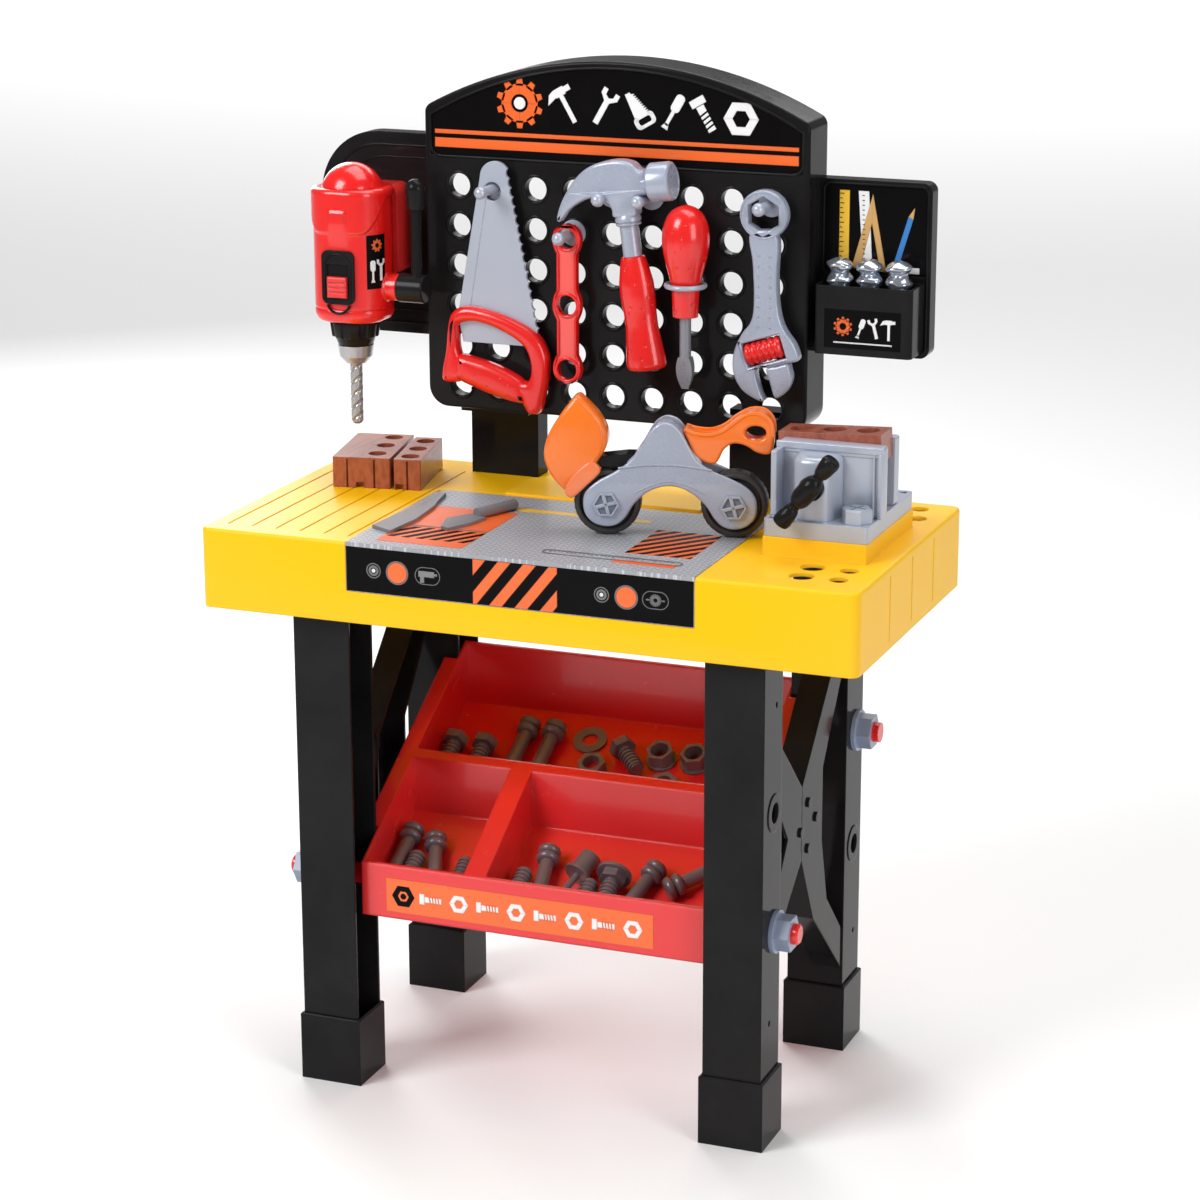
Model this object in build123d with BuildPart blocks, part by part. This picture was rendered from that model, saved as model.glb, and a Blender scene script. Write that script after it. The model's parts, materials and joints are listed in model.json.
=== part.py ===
from build123d import *
import math
import os

# Toy tool bench: a worktop on four braced legs, a slanted parts tray, a pegboard with
# hanging tools, a drill press, a vise and a take-apart toy motorbike.
# Millimetres, +X right, +Y to the back, +Z up, origin on the floor under the middle.

# ---- driving dimensions -------------------------------------------------------------
TOP_W, TOP_D = 570.0, 294.0        # worktop outline
TOP_Z, APRON = 485.0, 68.0         # worktop height and the depth of its apron
WALL = 3.0                         # thickness of the moulded shells
GAP = 0.3                          # clearance between separate pieces

LEG_OUT, LEG_W = 206.3, 50.3       # outer face of the legs in X, depth of their channel
LEG_FRONT = (-135.3, -90.5)        # front legs in Y
LEG_REAR = (85.0, 130.0)           # rear legs in Y
LEG_WALL = 2.5
FOOT_H, FOOT_LIP = 60.0, 2.6

TRAY_HALF = 155.5                  # half width of the tray
TRAY_Y = (-122.0, 100.0)
TRAY_DIVIDER = (-19.4, -10.8)      # cross divider in Y
TRAY_RIB = (-62.0, -42.0)          # front divider in X
FRONT_BOLT = (-103.3, 181.3)       # (y, z) of the side bolts
REAR_BOLT = (113.0, 286.9)

BOARD_HALF = 171.5
BOARD_Y = (66.0, 112.0)
BOARD_Z = (553.0, 812.0, 856.0)    # bottom, shoulders, top of the arch
HOLE_R, HOLE_PITCH_X, HOLE_PITCH_Z = 10.0, 35.0, 34.5
HOLE_COLUMNS, HOLE_ROWS = 9, 6
HOLE_MID_Z = 660.25                # middle of the hole field
BACK_Y = BOARD_Y[0] + WALL         # rear face of the board's front wall

os.makedirs("parts", exist_ok=True)


def save(part, name):
    """Label a finished piece and write it as one STEP file."""
    part.label = name
    export_step(part, f"parts/{name}.step")


def slab(x, y, z, mode=Mode.ADD):
    """Box between (low, high) limits along each axis."""
    with Locations(((x[0] + x[1]) / 2, (y[0] + y[1]) / 2, (z[0] + z[1]) / 2)):
        Box(x[1] - x[0], y[1] - y[0], z[1] - z[0], mode=mode)


def front(y):
    """Plane facing the front at this depth: local (x, z), extrudes towards -Y."""
    return Plane.XZ.offset(-y)


def side(x):
    """Plane facing +X: local (y, z), extrudes towards +X."""
    return Plane.YZ.offset(x)


def level(z):
    """Horizontal plane: local (x, y), extrudes upwards."""
    return Plane.XY.offset(z)


def outline(*points):
    """Closed polygon face in the current sketch."""
    with BuildLine() as edge:
        Polyline(*points, close=True)
    make_face(edge.edges())


def prism(plane, points, amount, mode=Mode.ADD):
    """Polygon in the plane's local coordinates, extruded along its normal."""
    with BuildSketch(plane) as profile:
        outline(*points)
    extrude(profile.sketch, amount=amount, mode=mode)


def pin(plane, centre, radius, length, mode=Mode.ADD):
    """Round pin or hole from the plane, at a local centre."""
    with BuildSketch(plane) as profile:
        with Locations(centre):
            Circle(radius)
    extrude(profile.sketch, amount=length, mode=mode)


def hexagon(plane, centre, across, length, mode=Mode.ADD):
    """Hexagonal prism from the plane, by its size across the flats."""
    with BuildSketch(plane) as profile:
        with Locations(centre):
            RegularPolygon(across / 2, 6, major_radius=False)
    extrude(profile.sketch, amount=length, mode=mode)


def mirrored(source, name):
    """The same piece on the other side of the bench."""
    with BuildPart() as twin:
        mirror(source, about=Plane.YZ)
    save(twin.part, name)


# ---- worktop ------------------------------------------------------------------------
PAD_X, PAD_Y, PAD_H = (178.0, 265.0), (-62.0, 67.0), 16.0
MAT_HALF, MAT_Y, MAT_T = 151.0, (-147.0, 40.0), 1.6
MAT_SINK = 1.0                     # the mat lies in a shallow recess
STRIP_Z = 444.0                    # lower edge of the mat's front strip
SOCKETS = [(227.6, -84.0, 10.0), (227.6, -112.0, 10.0), (258.0, -84.0, 7.5),
           (258.0, -112.0, 7.5), (255.0, 124.0, 7.5), (262.0, 93.0, 7.5)]
PLANK_X, PLANK_Y, PLANKS = (-268.0, -157.0), (-128.0, 109.0), 6

with BuildPart() as worktop:
    with BuildSketch(level(TOP_Z - APRON)):
        RectangleRounded(TOP_W, TOP_D, 8)
    extrude(amount=APRON)
    fillet(worktop.faces().sort_by(Axis.Z)[-1].edges(), 3)
    with BuildSketch(level(TOP_Z - APRON)):
        RectangleRounded(TOP_W - 2 * WALL, TOP_D - 2 * WALL, 8 - WALL)
    extrude(amount=APRON - WALL, mode=Mode.SUBTRACT)
    # raised pad under the vise, hollow from below
    slab(PAD_X, PAD_Y, (TOP_Z - WALL, TOP_Z + PAD_H))
    slab((PAD_X[0] + WALL, PAD_X[1] - WALL), (PAD_Y[0] + WALL, PAD_Y[1] - WALL),
         (TOP_Z - WALL, TOP_Z + PAD_H - WALL), Mode.SUBTRACT)
    # moulded step behind the mat
    slab((-92, 86), (46, 104), (TOP_Z, TOP_Z + 2))
    # recess for the mat on top and down the front
    slab((-MAT_HALF - GAP, MAT_HALF + GAP), (MAT_Y[0], MAT_Y[1] + GAP),
         (TOP_Z - MAT_SINK, TOP_Z), Mode.SUBTRACT)
    slab((-MAT_HALF - GAP, MAT_HALF + GAP), (MAT_Y[0], MAT_Y[0] + MAT_SINK),
         (STRIP_Z - GAP, TOP_Z), Mode.SUBTRACT)
    # plank lines
    for i in range(PLANKS):
        line_x = PLANK_X[0] + (PLANK_X[1] - PLANK_X[0]) * i / (PLANKS - 1)
        slab((line_x - 0.8, line_x + 0.8), PLANK_Y, (TOP_Z - 1.2, TOP_Z), Mode.SUBTRACT)
    # sockets for the loose bolts
    for x, y, radius in SOCKETS:
        pin(level(TOP_Z - WALL), (x, y), radius, WALL, Mode.SUBTRACT)
save(worktop.part, "worktop")

with BuildPart() as printed_mat:
    slab((-MAT_HALF, MAT_HALF), MAT_Y, (TOP_Z - MAT_SINK, TOP_Z - MAT_SINK + MAT_T))
    slab((-MAT_HALF, MAT_HALF), (MAT_Y[0], MAT_Y[0] + MAT_SINK),
         (STRIP_Z, TOP_Z - MAT_SINK + MAT_T))
    rear_corners = printed_mat.edges().filter_by(Axis.Z).group_by(Axis.Y)[-1]
    fillet(rear_corners, 14)
save(printed_mat.part, "printed_mat")

# ---- legs and braces ----------------------------------------------------------------
ARM_X = (180.0, 205.0)             # the brace arms are channels, open to the inside
LEG_TOP = TOP_Z - WALL - 0.2
FRONT_ARMS = [(-92, 338), (-84.5, 331), (-32.7, 281.5), (-32.7, 217), (-77.4, 182), (-92, 171)]
FRONT_WINDOW = [(-85, 270), (-68, 248), (-85, 226)]
REAR_ARMS = [(86, 401), (39, 354.5), (-32, 282), (-32, 217), (2.6, 153), (86, 76),
             (86, 112), (39.6, 158), (23, 217), (23, 282), (86, 368)]
BRACE_SCREWS = [(-15.4, 263), (5, 243.6), (-15.6, 222.5), (-35.7, 243)]
SPARE_FRONT, SPARE_REAR = (-108.7, 285.0), (109.2, 184.5)
SMALL_FRONT, SMALL_REAR = [(-105.7, 375), (-115, 105)], [(113.8, 102)]
BOLT_R = 8.7


def channel(limits):
    """Leg channel with its open side to the inside of the bench."""
    slab((LEG_OUT - LEG_W, LEG_OUT), limits, (WALL, LEG_TOP))
    slab((LEG_OUT - LEG_W, LEG_OUT - LEG_WALL), (limits[0] + LEG_WALL, limits[1] - LEG_WALL),
         (WALL, LEG_TOP), Mode.SUBTRACT)


def arms(points):
    """Brace arms as a channel with one outer face."""
    prism(side(ARM_X[0]), points, ARM_X[1] - ARM_X[0])
    with BuildSketch(side(ARM_X[0])) as hollow:
        outline(*points)
        offset(amount=-LEG_WALL, mode=Mode.REPLACE)
    extrude(hollow.sketch, amount=ARM_X[1] - ARM_X[0] - LEG_WALL, mode=Mode.SUBTRACT)


def leg_holes(bolt, spare, small):
    """Bolt hole, spare bolt hole with its raised ring, and screw holes in the outer face."""
    pin(side(LEG_OUT), spare, 16, 0.8)
    pin(side(LEG_OUT - LEG_WALL), spare, BOLT_R, 5, Mode.SUBTRACT)
    pin(side(LEG_OUT - LEG_WALL), bolt, BOLT_R + GAP, 5, Mode.SUBTRACT)
    for centre in small:
        pin(side(LEG_OUT - LEG_WALL), centre, 2.5, 5, Mode.SUBTRACT)


with BuildPart() as leg_front_right:
    arms(FRONT_ARMS)
    prism(side(ARM_X[0]), FRONT_WINDOW, ARM_X[1] - ARM_X[0], Mode.SUBTRACT)
    channel(LEG_FRONT)
    # tongue behind the centre plate of the rear piece
    slab((199.5, 202.2), (-36, 18), (219, 268))
    leg_holes(FRONT_BOLT, SPARE_FRONT, SMALL_FRONT)
    for centre in BRACE_SCREWS:
        pin(side(199), centre, 2.2, 8, Mode.SUBTRACT)
save(leg_front_right.part, "leg_front_right")
mirrored(leg_front_right.part, "leg_front_left")

with BuildPart() as leg_rear_right:
    arms(REAR_ARMS)
    slab((ARM_X[0], ARM_X[1] - LEG_WALL), (-33, -29), (218, 269), Mode.SUBTRACT)
    channel(LEG_REAR)
    leg_holes(REAR_BOLT, SPARE_REAR, SMALL_REAR)
    for centre in BRACE_SCREWS[:3]:
        pin(side(ARM_X[1] - LEG_WALL), centre, 2.2, 4, Mode.SUBTRACT)
save(leg_rear_right.part, "leg_rear_right")
mirrored(leg_rear_right.part, "leg_rear_left")

with BuildPart() as brace_screws:
    for centre in BRACE_SCREWS:
        pin(side(ARM_X[1]), centre, 4.2, 1.8)
        pin(side(200), centre, 2.0, ARM_X[1] - 200)
    mirror(about=Plane.YZ)
save(brace_screws.part, "brace_screws")

with BuildPart() as feet:
    for limits in (LEG_FRONT, LEG_REAR):
        slab((LEG_OUT - LEG_W - FOOT_LIP, LEG_OUT + FOOT_LIP),
             (limits[0] - FOOT_LIP, limits[1] + FOOT_LIP), (0, FOOT_H))
    chamfer(feet.edges().group_by(Axis.Z)[-1], 1.2)
    for limits in (LEG_FRONT, LEG_REAR):
        slab((LEG_OUT - LEG_W - 0.1, LEG_OUT + 0.1), (limits[0] - 0.1, limits[1] + 0.1),
             (WALL - 0.1, FOOT_H), Mode.SUBTRACT)
    mirror(about=Plane.YZ)
save(feet.part, "feet")

# ---- parts tray ---------------------------------------------------------------------
TRAY_WALL = 2.5
RIM_SLOPE, RIM_REAR = 0.6, 332.0   # the rim falls towards the front
FLOOR_REAR, FLOOR_SLOPE = 274.0, 0.55
EAR = ((97.5, 124.0), (273.0, 301.0))


def rim(y):
    """Height of the tray's rim at a depth."""
    return RIM_REAR + RIM_SLOPE * (y - TRAY_Y[1])


def tray_floor(y):
    """Height of the tray's underside at a depth."""
    return FLOOR_REAR + FLOOR_SLOPE * (y - TRAY_Y[1])


def tray_profile(y0, y1, lift, height):
    """Side view between two depths, from the floor plus a lift to a height over the rim."""
    return [(y0, tray_floor(y0) + lift), (y1, tray_floor(y1) + lift),
            (y1, rim(y1) + height), (y0, rim(y0) + height)]


def pocket(x, y):
    """Open compartment of the tray."""
    prism(side(x[0]), tray_profile(y[0], y[1], 3, 20), x[1] - x[0], Mode.SUBTRACT)


with BuildPart() as tray:
    prism(side(-TRAY_HALF), tray_profile(*TRAY_Y, 0, 0), 2 * TRAY_HALF)
    # rolled lips along the sides, between the legs
    lip = [(-87, rim(-87) - 9), (81, rim(81) - 9), (81, rim(81)), (-87, rim(-87))]
    prism(side(-TRAY_HALF - 12), lip, 2 * TRAY_HALF + 24)
    inner_x = TRAY_HALF - TRAY_WALL
    front_y, rear_y = TRAY_Y[0] + TRAY_WALL, TRAY_Y[1] - TRAY_WALL
    pocket((-inner_x, inner_x), (TRAY_DIVIDER[1], rear_y))
    pocket((-inner_x, TRAY_RIB[0]), (front_y, TRAY_DIVIDER[0]))
    pocket((TRAY_RIB[1], inner_x), (front_y, TRAY_DIVIDER[0]))
    # the rear ears take the upper bolts
    for sign in (-1, 1):
        ear_x = sorted((sign * (TRAY_HALF - 8), sign * TRAY_HALF))
        slab(ear_x, *EAR)
    for bolt in (FRONT_BOLT, REAR_BOLT):
        pin(side(-TRAY_HALF - 1), bolt, BOLT_R + GAP, 2 * TRAY_HALF + 2, Mode.SUBTRACT)
save(tray.part, "tray")

# bolts from inside the tray out through the legs, with flanged nuts outside
BOLT_END = 228.0
with BuildPart() as tray_bolts:
    for bolt, inner in ((FRONT_BOLT, TRAY_HALF - TRAY_WALL), (REAR_BOLT, TRAY_HALF - 8)):
        pin(side(inner), bolt, BOLT_R, BOLT_END - inner)
        pin(side(inner - 6), bolt, 13, 6)
    chamfer(tray_bolts.faces().sort_by(Axis.X)[-1].edges(), 1.5)
    mirror(about=Plane.YZ)
save(tray_bolts.part, "tray_bolts")

with BuildPart() as tray_nuts:
    for bolt in (FRONT_BOLT, REAR_BOLT):
        pin(side(LEG_OUT), bolt, 18, 3.5)
        hexagon(side(LEG_OUT + 3.5), bolt, 27, 12.5)
        pin(side(LEG_OUT), bolt, BOLT_R + 0.05, 20, Mode.SUBTRACT)
    mirror(about=Plane.YZ)
save(tray_nuts.part, "tray_nuts")

# ---- pegboard and its posts ---------------------------------------------------------
POST_X, POST_Y, POST_TOP = (88.6, 151.6), (BOARD_Y[1], 134.0), 561.0
with BuildPart() as board_posts:
    slab(POST_X, POST_Y, (TOP_Z, POST_TOP))
    slab((POST_X[0] + WALL, POST_X[1] - WALL), (POST_Y[0] + WALL, POST_Y[1]),
         (TOP_Z, POST_TOP - WALL), Mode.SUBTRACT)
    # shelf under the lower edge of the board
    slab(POST_X, (90, POST_Y[0]), (BOARD_Z[0] - 8, BOARD_Z[0]))
    mirror(about=Plane.YZ)
save(board_posts.part, "board_posts")


def board_outline(inset):
    """Board outline with rounded lower corners and an arched top."""
    half, low = BOARD_HALF - inset, BOARD_Z[0] + inset
    shoulder, top = BOARD_Z[1] - inset, BOARD_Z[2] - inset
    with BuildLine() as edge:
        Polyline((-half, shoulder), (-half, low), (half, low), (half, shoulder))
        ThreePointArc((half, shoulder), (0, top), (-half, shoulder))
    make_face(edge.edges())


HEADER_Z = 771.0                   # lower edge of the header panel
RIM = 6.0                          # width of the frame around the header panel

with BuildPart() as pegboard:
    with BuildSketch(front(BOARD_Y[1])) as outer:
        board_outline(0)
        fillet(outer.vertices().group_by(Axis.Y)[0], 18)
        fillet(outer.vertices().group_by(Axis.Y)[-1], 9)
    extrude(amount=BOARD_Y[1] - BOARD_Y[0])
    fillet(pegboard.faces().sort_by(Axis.Y)[0].edges(), 2.5)
    with BuildSketch(front(BOARD_Y[1])) as hollow:
        board_outline(WALL)
        fillet(hollow.vertices().group_by(Axis.Y)[0], 15)
        fillet(hollow.vertices().group_by(Axis.Y)[-1], 6)
    extrude(amount=BOARD_Y[1] - BACK_Y, mode=Mode.SUBTRACT)
    with BuildSketch(front(BACK_Y)):
        with Locations((0, HOLE_MID_Z)):
            with GridLocations(HOLE_PITCH_X, HOLE_PITCH_Z, HOLE_COLUMNS, HOLE_ROWS):
                Circle(HOLE_R)
    extrude(amount=WALL, mode=Mode.SUBTRACT)
    # sunken panel behind the header label
    with BuildSketch(front(BOARD_Y[0] + 1)):
        board_outline(RIM)
        with Locations((0, BOARD_Z[0] / 2 + HEADER_Z / 2)):
            Rectangle(2 * BOARD_HALF, HEADER_Z - BOARD_Z[0], mode=Mode.SUBTRACT)
    extrude(amount=1, mode=Mode.SUBTRACT)
save(pegboard.part, "pegboard")

# ---- side wings and the bin ---------------------------------------------------------
WING_Y = (96.0, 112.0)
WING_L_X, WING_L_Z = (-284.0, -BOARD_HALF), (609.0, 784.0)
WING_R_X, WING_R_Z = (BOARD_HALF, 267.0), (620.0, 765.0)
BIN_X, BIN_Y, BIN_Z = (179.0, 262.0), (60.0, 96.0), (626.0, 683.0)


def wing(x, z, radius, corner_side):
    """Shallow shell open at the back, with rounded corners on its outer side."""
    for inset, depth, mode in ((0, WING_Y[0], Mode.ADD), (2.5, WING_Y[0] + 2.5, Mode.SUBTRACT)):
        with BuildSketch(front(WING_Y[1])) as shape:
            with Locations(((x[0] + x[1]) / 2, (z[0] + z[1]) / 2)):
                Rectangle(x[1] - x[0] - 2 * inset, z[1] - z[0] - 2 * inset)
            fillet(shape.vertices().group_by(Axis.X)[corner_side], radius - inset)
        extrude(shape.sketch, amount=WING_Y[1] - depth, mode=mode)


with BuildPart() as wing_left:
    wing(WING_L_X, WING_L_Z, 55, 0)
save(wing_left.part, "wing_left")

with BuildPart() as wing_right:
    wing(WING_R_X, WING_R_Z, 8, -1)
    slab((BOARD_HALF + 4, WING_R_X[1] - 4), (WING_Y[0], WING_Y[0] + 1), (688, WING_R_Z[1] - 4),
         Mode.SUBTRACT)
save(wing_right.part, "wing_right")

with BuildPart() as tool_bin:
    slab(BIN_X, BIN_Y, BIN_Z)
    fillet(tool_bin.edges().filter_by(Axis.Z).group_by(Axis.Y)[0], 4)
    slab((BIN_X[0] + 2.2, BIN_X[1] - 2.2), (BIN_Y[0] + 2.2, BIN_Y[1] - 2.2),
         (BIN_Z[0] + 2.2, BIN_Z[1]), Mode.SUBTRACT)
save(tool_bin.part, "tool_bin")

# fat auger bits standing in the bin: a shank with turns of rising width
AUGER_R = 11.0
with BuildPart() as auger_bits:
    with BuildSketch(Plane.XZ):
        with BuildLine():
            Polyline((0, 0), (8, 0), (8, 28), (AUGER_R - 3, 30))
            for turn in range(4):
                base = 30 + 10 * turn
                ThreePointArc((AUGER_R - 3, base), (AUGER_R, base + 5), (AUGER_R - 3, base + 10))
            Polyline((AUGER_R - 3, 70), (0, 75), (0, 0))
        make_face()
    revolve(axis=Axis.Z)
augers = [Pos(x, 79, BIN_Z[0] + 2.5) * auger_bits.part for x in (195, 220, 245)]
save(Compound(children=augers), "auger_bits")

# ---- drill press --------------------------------------------------------------------
DRILL_X, DRILL_Y = -228.0, 40.0    # axis of the spindle
SHELL_W, SHELL_D = 64.0, 60.0
SHELL_Z = (630.0, 745.0)
SHELL_WALL = 3.0
DOME_R = 26.0
LEVER_Z = 660.0                    # axis of the lever, crossing over the spindle
MODULE, TEETH, PRESSURE = 1.5, 12, math.radians(25)
ADDENDUM, DEDENDUM, BACKLASH = 0.8 * MODULE, 1.05 * MODULE, 0.3
PITCH_R = MODULE * TEETH / 2
RACK_Y = DRILL_Y - PITCH_R         # pitch line of the rack, in front of the pinion
SHAFT_R, FIT = 4.0, 0.1
SHELL_RIGHT = DRILL_X + SHELL_W / 2
SHELL_FRONT, SHELL_BACK = DRILL_Y - SHELL_D / 2, DRILL_Y + SHELL_D / 2
HUB_X = (SHELL_RIGHT + 12, SHELL_RIGHT + 36)
SLEEVE_R = 12.0

with BuildPart() as drill_shell:
    with BuildSketch(level(SHELL_Z[0])):
        with Locations((DRILL_X, DRILL_Y)):
            RectangleRounded(SHELL_W, SHELL_D, 24)
    extrude(amount=SHELL_Z[1] - SHELL_Z[0])
    fillet(drill_shell.faces().sort_by(Axis.Z)[-1].edges(), 5)
    fillet(drill_shell.faces().sort_by(Axis.Z)[0].edges(), 5)
    with BuildSketch(level(SHELL_Z[0] + 4)):
        with Locations((DRILL_X, DRILL_Y)):
            RectangleRounded(SHELL_W - 2 * SHELL_WALL, SHELL_D - 2 * SHELL_WALL, 21)
    extrude(amount=SHELL_Z[1] - SHELL_Z[0] - 4 - SHELL_WALL, mode=Mode.SUBTRACT)
    # boss that carries the lever
    pin(side(SHELL_RIGHT - SHELL_WALL), (DRILL_Y, LEVER_Z), 12, SHELL_WALL + 12 - GAP)
    pin(side(SHELL_RIGHT - SHELL_WALL), (DRILL_Y, LEVER_Z), SHAFT_R + FIT, 20, Mode.SUBTRACT)
    # opening for the quill and its rack
    pin(level(SHELL_Z[0]), (DRILL_X, DRILL_Y), SLEEVE_R + FIT, 4, Mode.SUBTRACT)
    slab((DRILL_X - 6 - FIT, DRILL_X + 6 + FIT), (RACK_Y - 9 - FIT, DRILL_Y),
         (SHELL_Z[0], SHELL_Z[0] + 4), Mode.SUBTRACT)
save(drill_shell.part, "drill_shell")

DOME_H = 20.0
DOME_SPHERE = (DOME_R ** 2 + DOME_H ** 2) / (2 * DOME_H)
with BuildPart() as drill_dome:
    with Locations((DRILL_X, DRILL_Y, SHELL_Z[1] + DOME_H - DOME_SPHERE)):
        Sphere(DOME_SPHERE)
    slab((DRILL_X - 40, DRILL_X + 40), (DRILL_Y - 40, DRILL_Y + 40),
         (SHELL_Z[1] - 60, SHELL_Z[1]), Mode.SUBTRACT)
save(drill_dome.part, "drill_dome")

with BuildPart() as drill_mount:
    slab((DRILL_X - 28, DRILL_X + 28), (SHELL_BACK, WING_Y[0]), (664, 742))
    fillet(drill_mount.edges().filter_by(Axis.Y), 8)
save(drill_mount.part, "drill_mount")

# switch plate with a slot, and the slider that runs in it
SWITCH_Z, SWITCH_TRAVEL = (654.0, 672.0), 10.0
PLATE_X, PLATE_Z = (DRILL_X - 15, DRILL_X + 15), (648.0, 694.0)
PLATE_Y = (SHELL_FRONT - 2.5, SHELL_FRONT)
with BuildPart() as switch_plate:
    slab(PLATE_X, PLATE_Y, PLATE_Z)
    fillet(switch_plate.edges().filter_by(Axis.Y), 6)
    slab((DRILL_X - 10, DRILL_X + 10), (PLATE_Y[0], PLATE_Y[0] + 1.5),
         (SWITCH_Z[0] - GAP, SWITCH_Z[1] + SWITCH_TRAVEL + GAP), Mode.SUBTRACT)
save(switch_plate.part, "switch_plate")

with BuildPart() as drill_switch:
    slab((DRILL_X - 9, DRILL_X + 9), (PLATE_Y[0] - 3.5, PLATE_Y[0] + 1.2), SWITCH_Z)
    chamfer(drill_switch.faces().sort_by(Axis.Y)[0].edges(), 1)
    for z in (659, 663, 667):
        slab((DRILL_X - 10, DRILL_X + 10), (PLATE_Y[0] - 3.5, PLATE_Y[0] - 2.5), (z - 0.7, z + 0.7),
             Mode.SUBTRACT)
save(drill_switch.part, "drill_switch")


def involute(base_r, roll):
    """Point of an involute after the given roll angle, from the +X direction."""
    return (base_r * (math.cos(roll) + roll * math.sin(roll)),
            base_r * (math.sin(roll) - roll * math.cos(roll)))


def turned(point, angle):
    """Point turned about the origin."""
    return (point[0] * math.cos(angle) - point[1] * math.sin(angle),
            point[0] * math.sin(angle) + point[1] * math.cos(angle))


def tooth_gap():
    """Flank points of one gap between two teeth, centred on the +X direction."""
    base_r = PITCH_R * math.cos(PRESSURE)
    tip_r = PITCH_R + ADDENDUM
    roll_tip = math.sqrt((tip_r / base_r) ** 2 - 1)
    half_gap = (math.pi * MODULE / 2 + BACKLASH / 2) / 2 / PITCH_R
    start = half_gap - (math.tan(PRESSURE) - PRESSURE)
    flank = [turned(involute(base_r, roll_tip * step / 4), start) for step in range(5)]
    root = turned((PITCH_R - DEDENDUM, 0), start)
    outer = turned((tip_r + 1, 0), math.atan2(flank[-1][1], flank[-1][0]))
    return [root] + flank + [outer]


with BuildPart() as drill_pinion:
    axis_point = (DRILL_Y, LEVER_Z)
    pin(side(DRILL_X - 6), axis_point, PITCH_R + ADDENDUM, 12)
    upper = tooth_gap()
    lower = [(x, -y) for x, y in reversed(upper)]
    for tooth in range(TEETH):
        # one tooth points straight to the front, into a gap of the rack
        angle = math.pi + (tooth + 0.5) * 2 * math.pi / TEETH
        gap = [turned(point, angle) for point in upper + lower]
        prism(side(DRILL_X - 6), [(DRILL_Y + y, LEVER_Z + z) for y, z in gap], 12, Mode.SUBTRACT)
    pin(side(DRILL_X - 6), axis_point, SHAFT_R, HUB_X[0] + 6 - DRILL_X + 6)
save(drill_pinion.part, "drill_pinion")

# lever with its hub on the shaft
LEVER_X, LEVER_TOP = HUB_X[0] + 15, 754.0
with BuildPart() as drill_lever:
    pin(side(HUB_X[0]), (DRILL_Y, LEVER_Z), 12.5, HUB_X[1] - HUB_X[0])
    pin(level(LEVER_Z), (LEVER_X, DRILL_Y), 4.8, LEVER_TOP - 24 - LEVER_Z)
    with BuildSketch(Plane.XZ.offset(-DRILL_Y)):
        with BuildLine():
            Polyline((LEVER_X + 7.2, LEVER_TOP - 26), (LEVER_X, LEVER_TOP - 26), (LEVER_X, LEVER_TOP))
            ThreePointArc((LEVER_X, LEVER_TOP), (LEVER_X + 6.4, LEVER_TOP - 2.6),
                          (LEVER_X + 9, LEVER_TOP - 9))
            Line((LEVER_X + 9, LEVER_TOP - 9), (LEVER_X + 7.2, LEVER_TOP - 26))
        make_face()
    revolve(axis=Axis((LEVER_X, DRILL_Y, 0), (0, 0, 1)))
    fillet(drill_lever.faces().sort_by(Axis.X)[-1].edges(), 1.5)
    pin(side(HUB_X[0]), (DRILL_Y, LEVER_Z), SHAFT_R, 6, Mode.SUBTRACT)
save(drill_lever.part, "drill_lever")

QUILL_Z = (635.0, 644.0)
RACK_TEETH = 7
with BuildPart() as drill_quill:
    pin(level(QUILL_Z[0]), (DRILL_X, DRILL_Y), SLEEVE_R, QUILL_Z[1] - QUILL_Z[0])
    slab((DRILL_X - 6, DRILL_X + 6), (RACK_Y - 9, RACK_Y - DEDENDUM), (QUILL_Z[0], 694))
    slab((DRILL_X - 6, DRILL_X + 6), (RACK_Y - 9, DRILL_Y - 6), QUILL_Z)
    pitch = math.pi * MODULE
    thick = pitch / 2 - BACKLASH / 2
    run = math.tan(PRESSURE)
    for tooth in range(RACK_TEETH):
        # a gap of the rack faces the front tooth of the pinion at rest
        z = LEVER_Z + (tooth - 1 + 0.5) * pitch
        low, high = thick / 2 + run * (DEDENDUM + 0.1), thick / 2 - run * ADDENDUM
        prism(side(DRILL_X - 6), [(RACK_Y - DEDENDUM - 0.1, z - low), (RACK_Y + ADDENDUM, z - high),
                                  (RACK_Y + ADDENDUM, z + high), (RACK_Y - DEDENDUM - 0.1, z + low)], 12)
    pin(level(QUILL_Z[0]), (DRILL_X, DRILL_Y), SHAFT_R + FIT, 40, Mode.SUBTRACT)
save(drill_quill.part, "drill_quill")

CHUCK_LOW, CHUCK_TOP, COLLAR_LOW, BIT_LOW = 608.0, 629.5, 592.0, 538.0
with BuildPart() as drill_spindle:
    pin(level(CHUCK_LOW + 4), (DRILL_X, DRILL_Y), SHAFT_R, QUILL_Z[1] + GAP + 3 - CHUCK_LOW - 4)
    pin(level(QUILL_Z[1] + GAP), (DRILL_X, DRILL_Y), 7, 3)
save(drill_spindle.part, "drill_spindle")


def turned_part(name, profile):
    """Piece turned about the spindle axis from (radius, height) points."""
    with BuildPart() as piece:
        with BuildSketch(Plane.XZ.offset(-DRILL_Y)) as half:
            outline(*[(DRILL_X + radius, z) for radius, z in profile])
        revolve(half.sketch, axis=Axis((DRILL_X, DRILL_Y, 0), (0, 0, 1)))
    save(piece.part, name)


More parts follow.
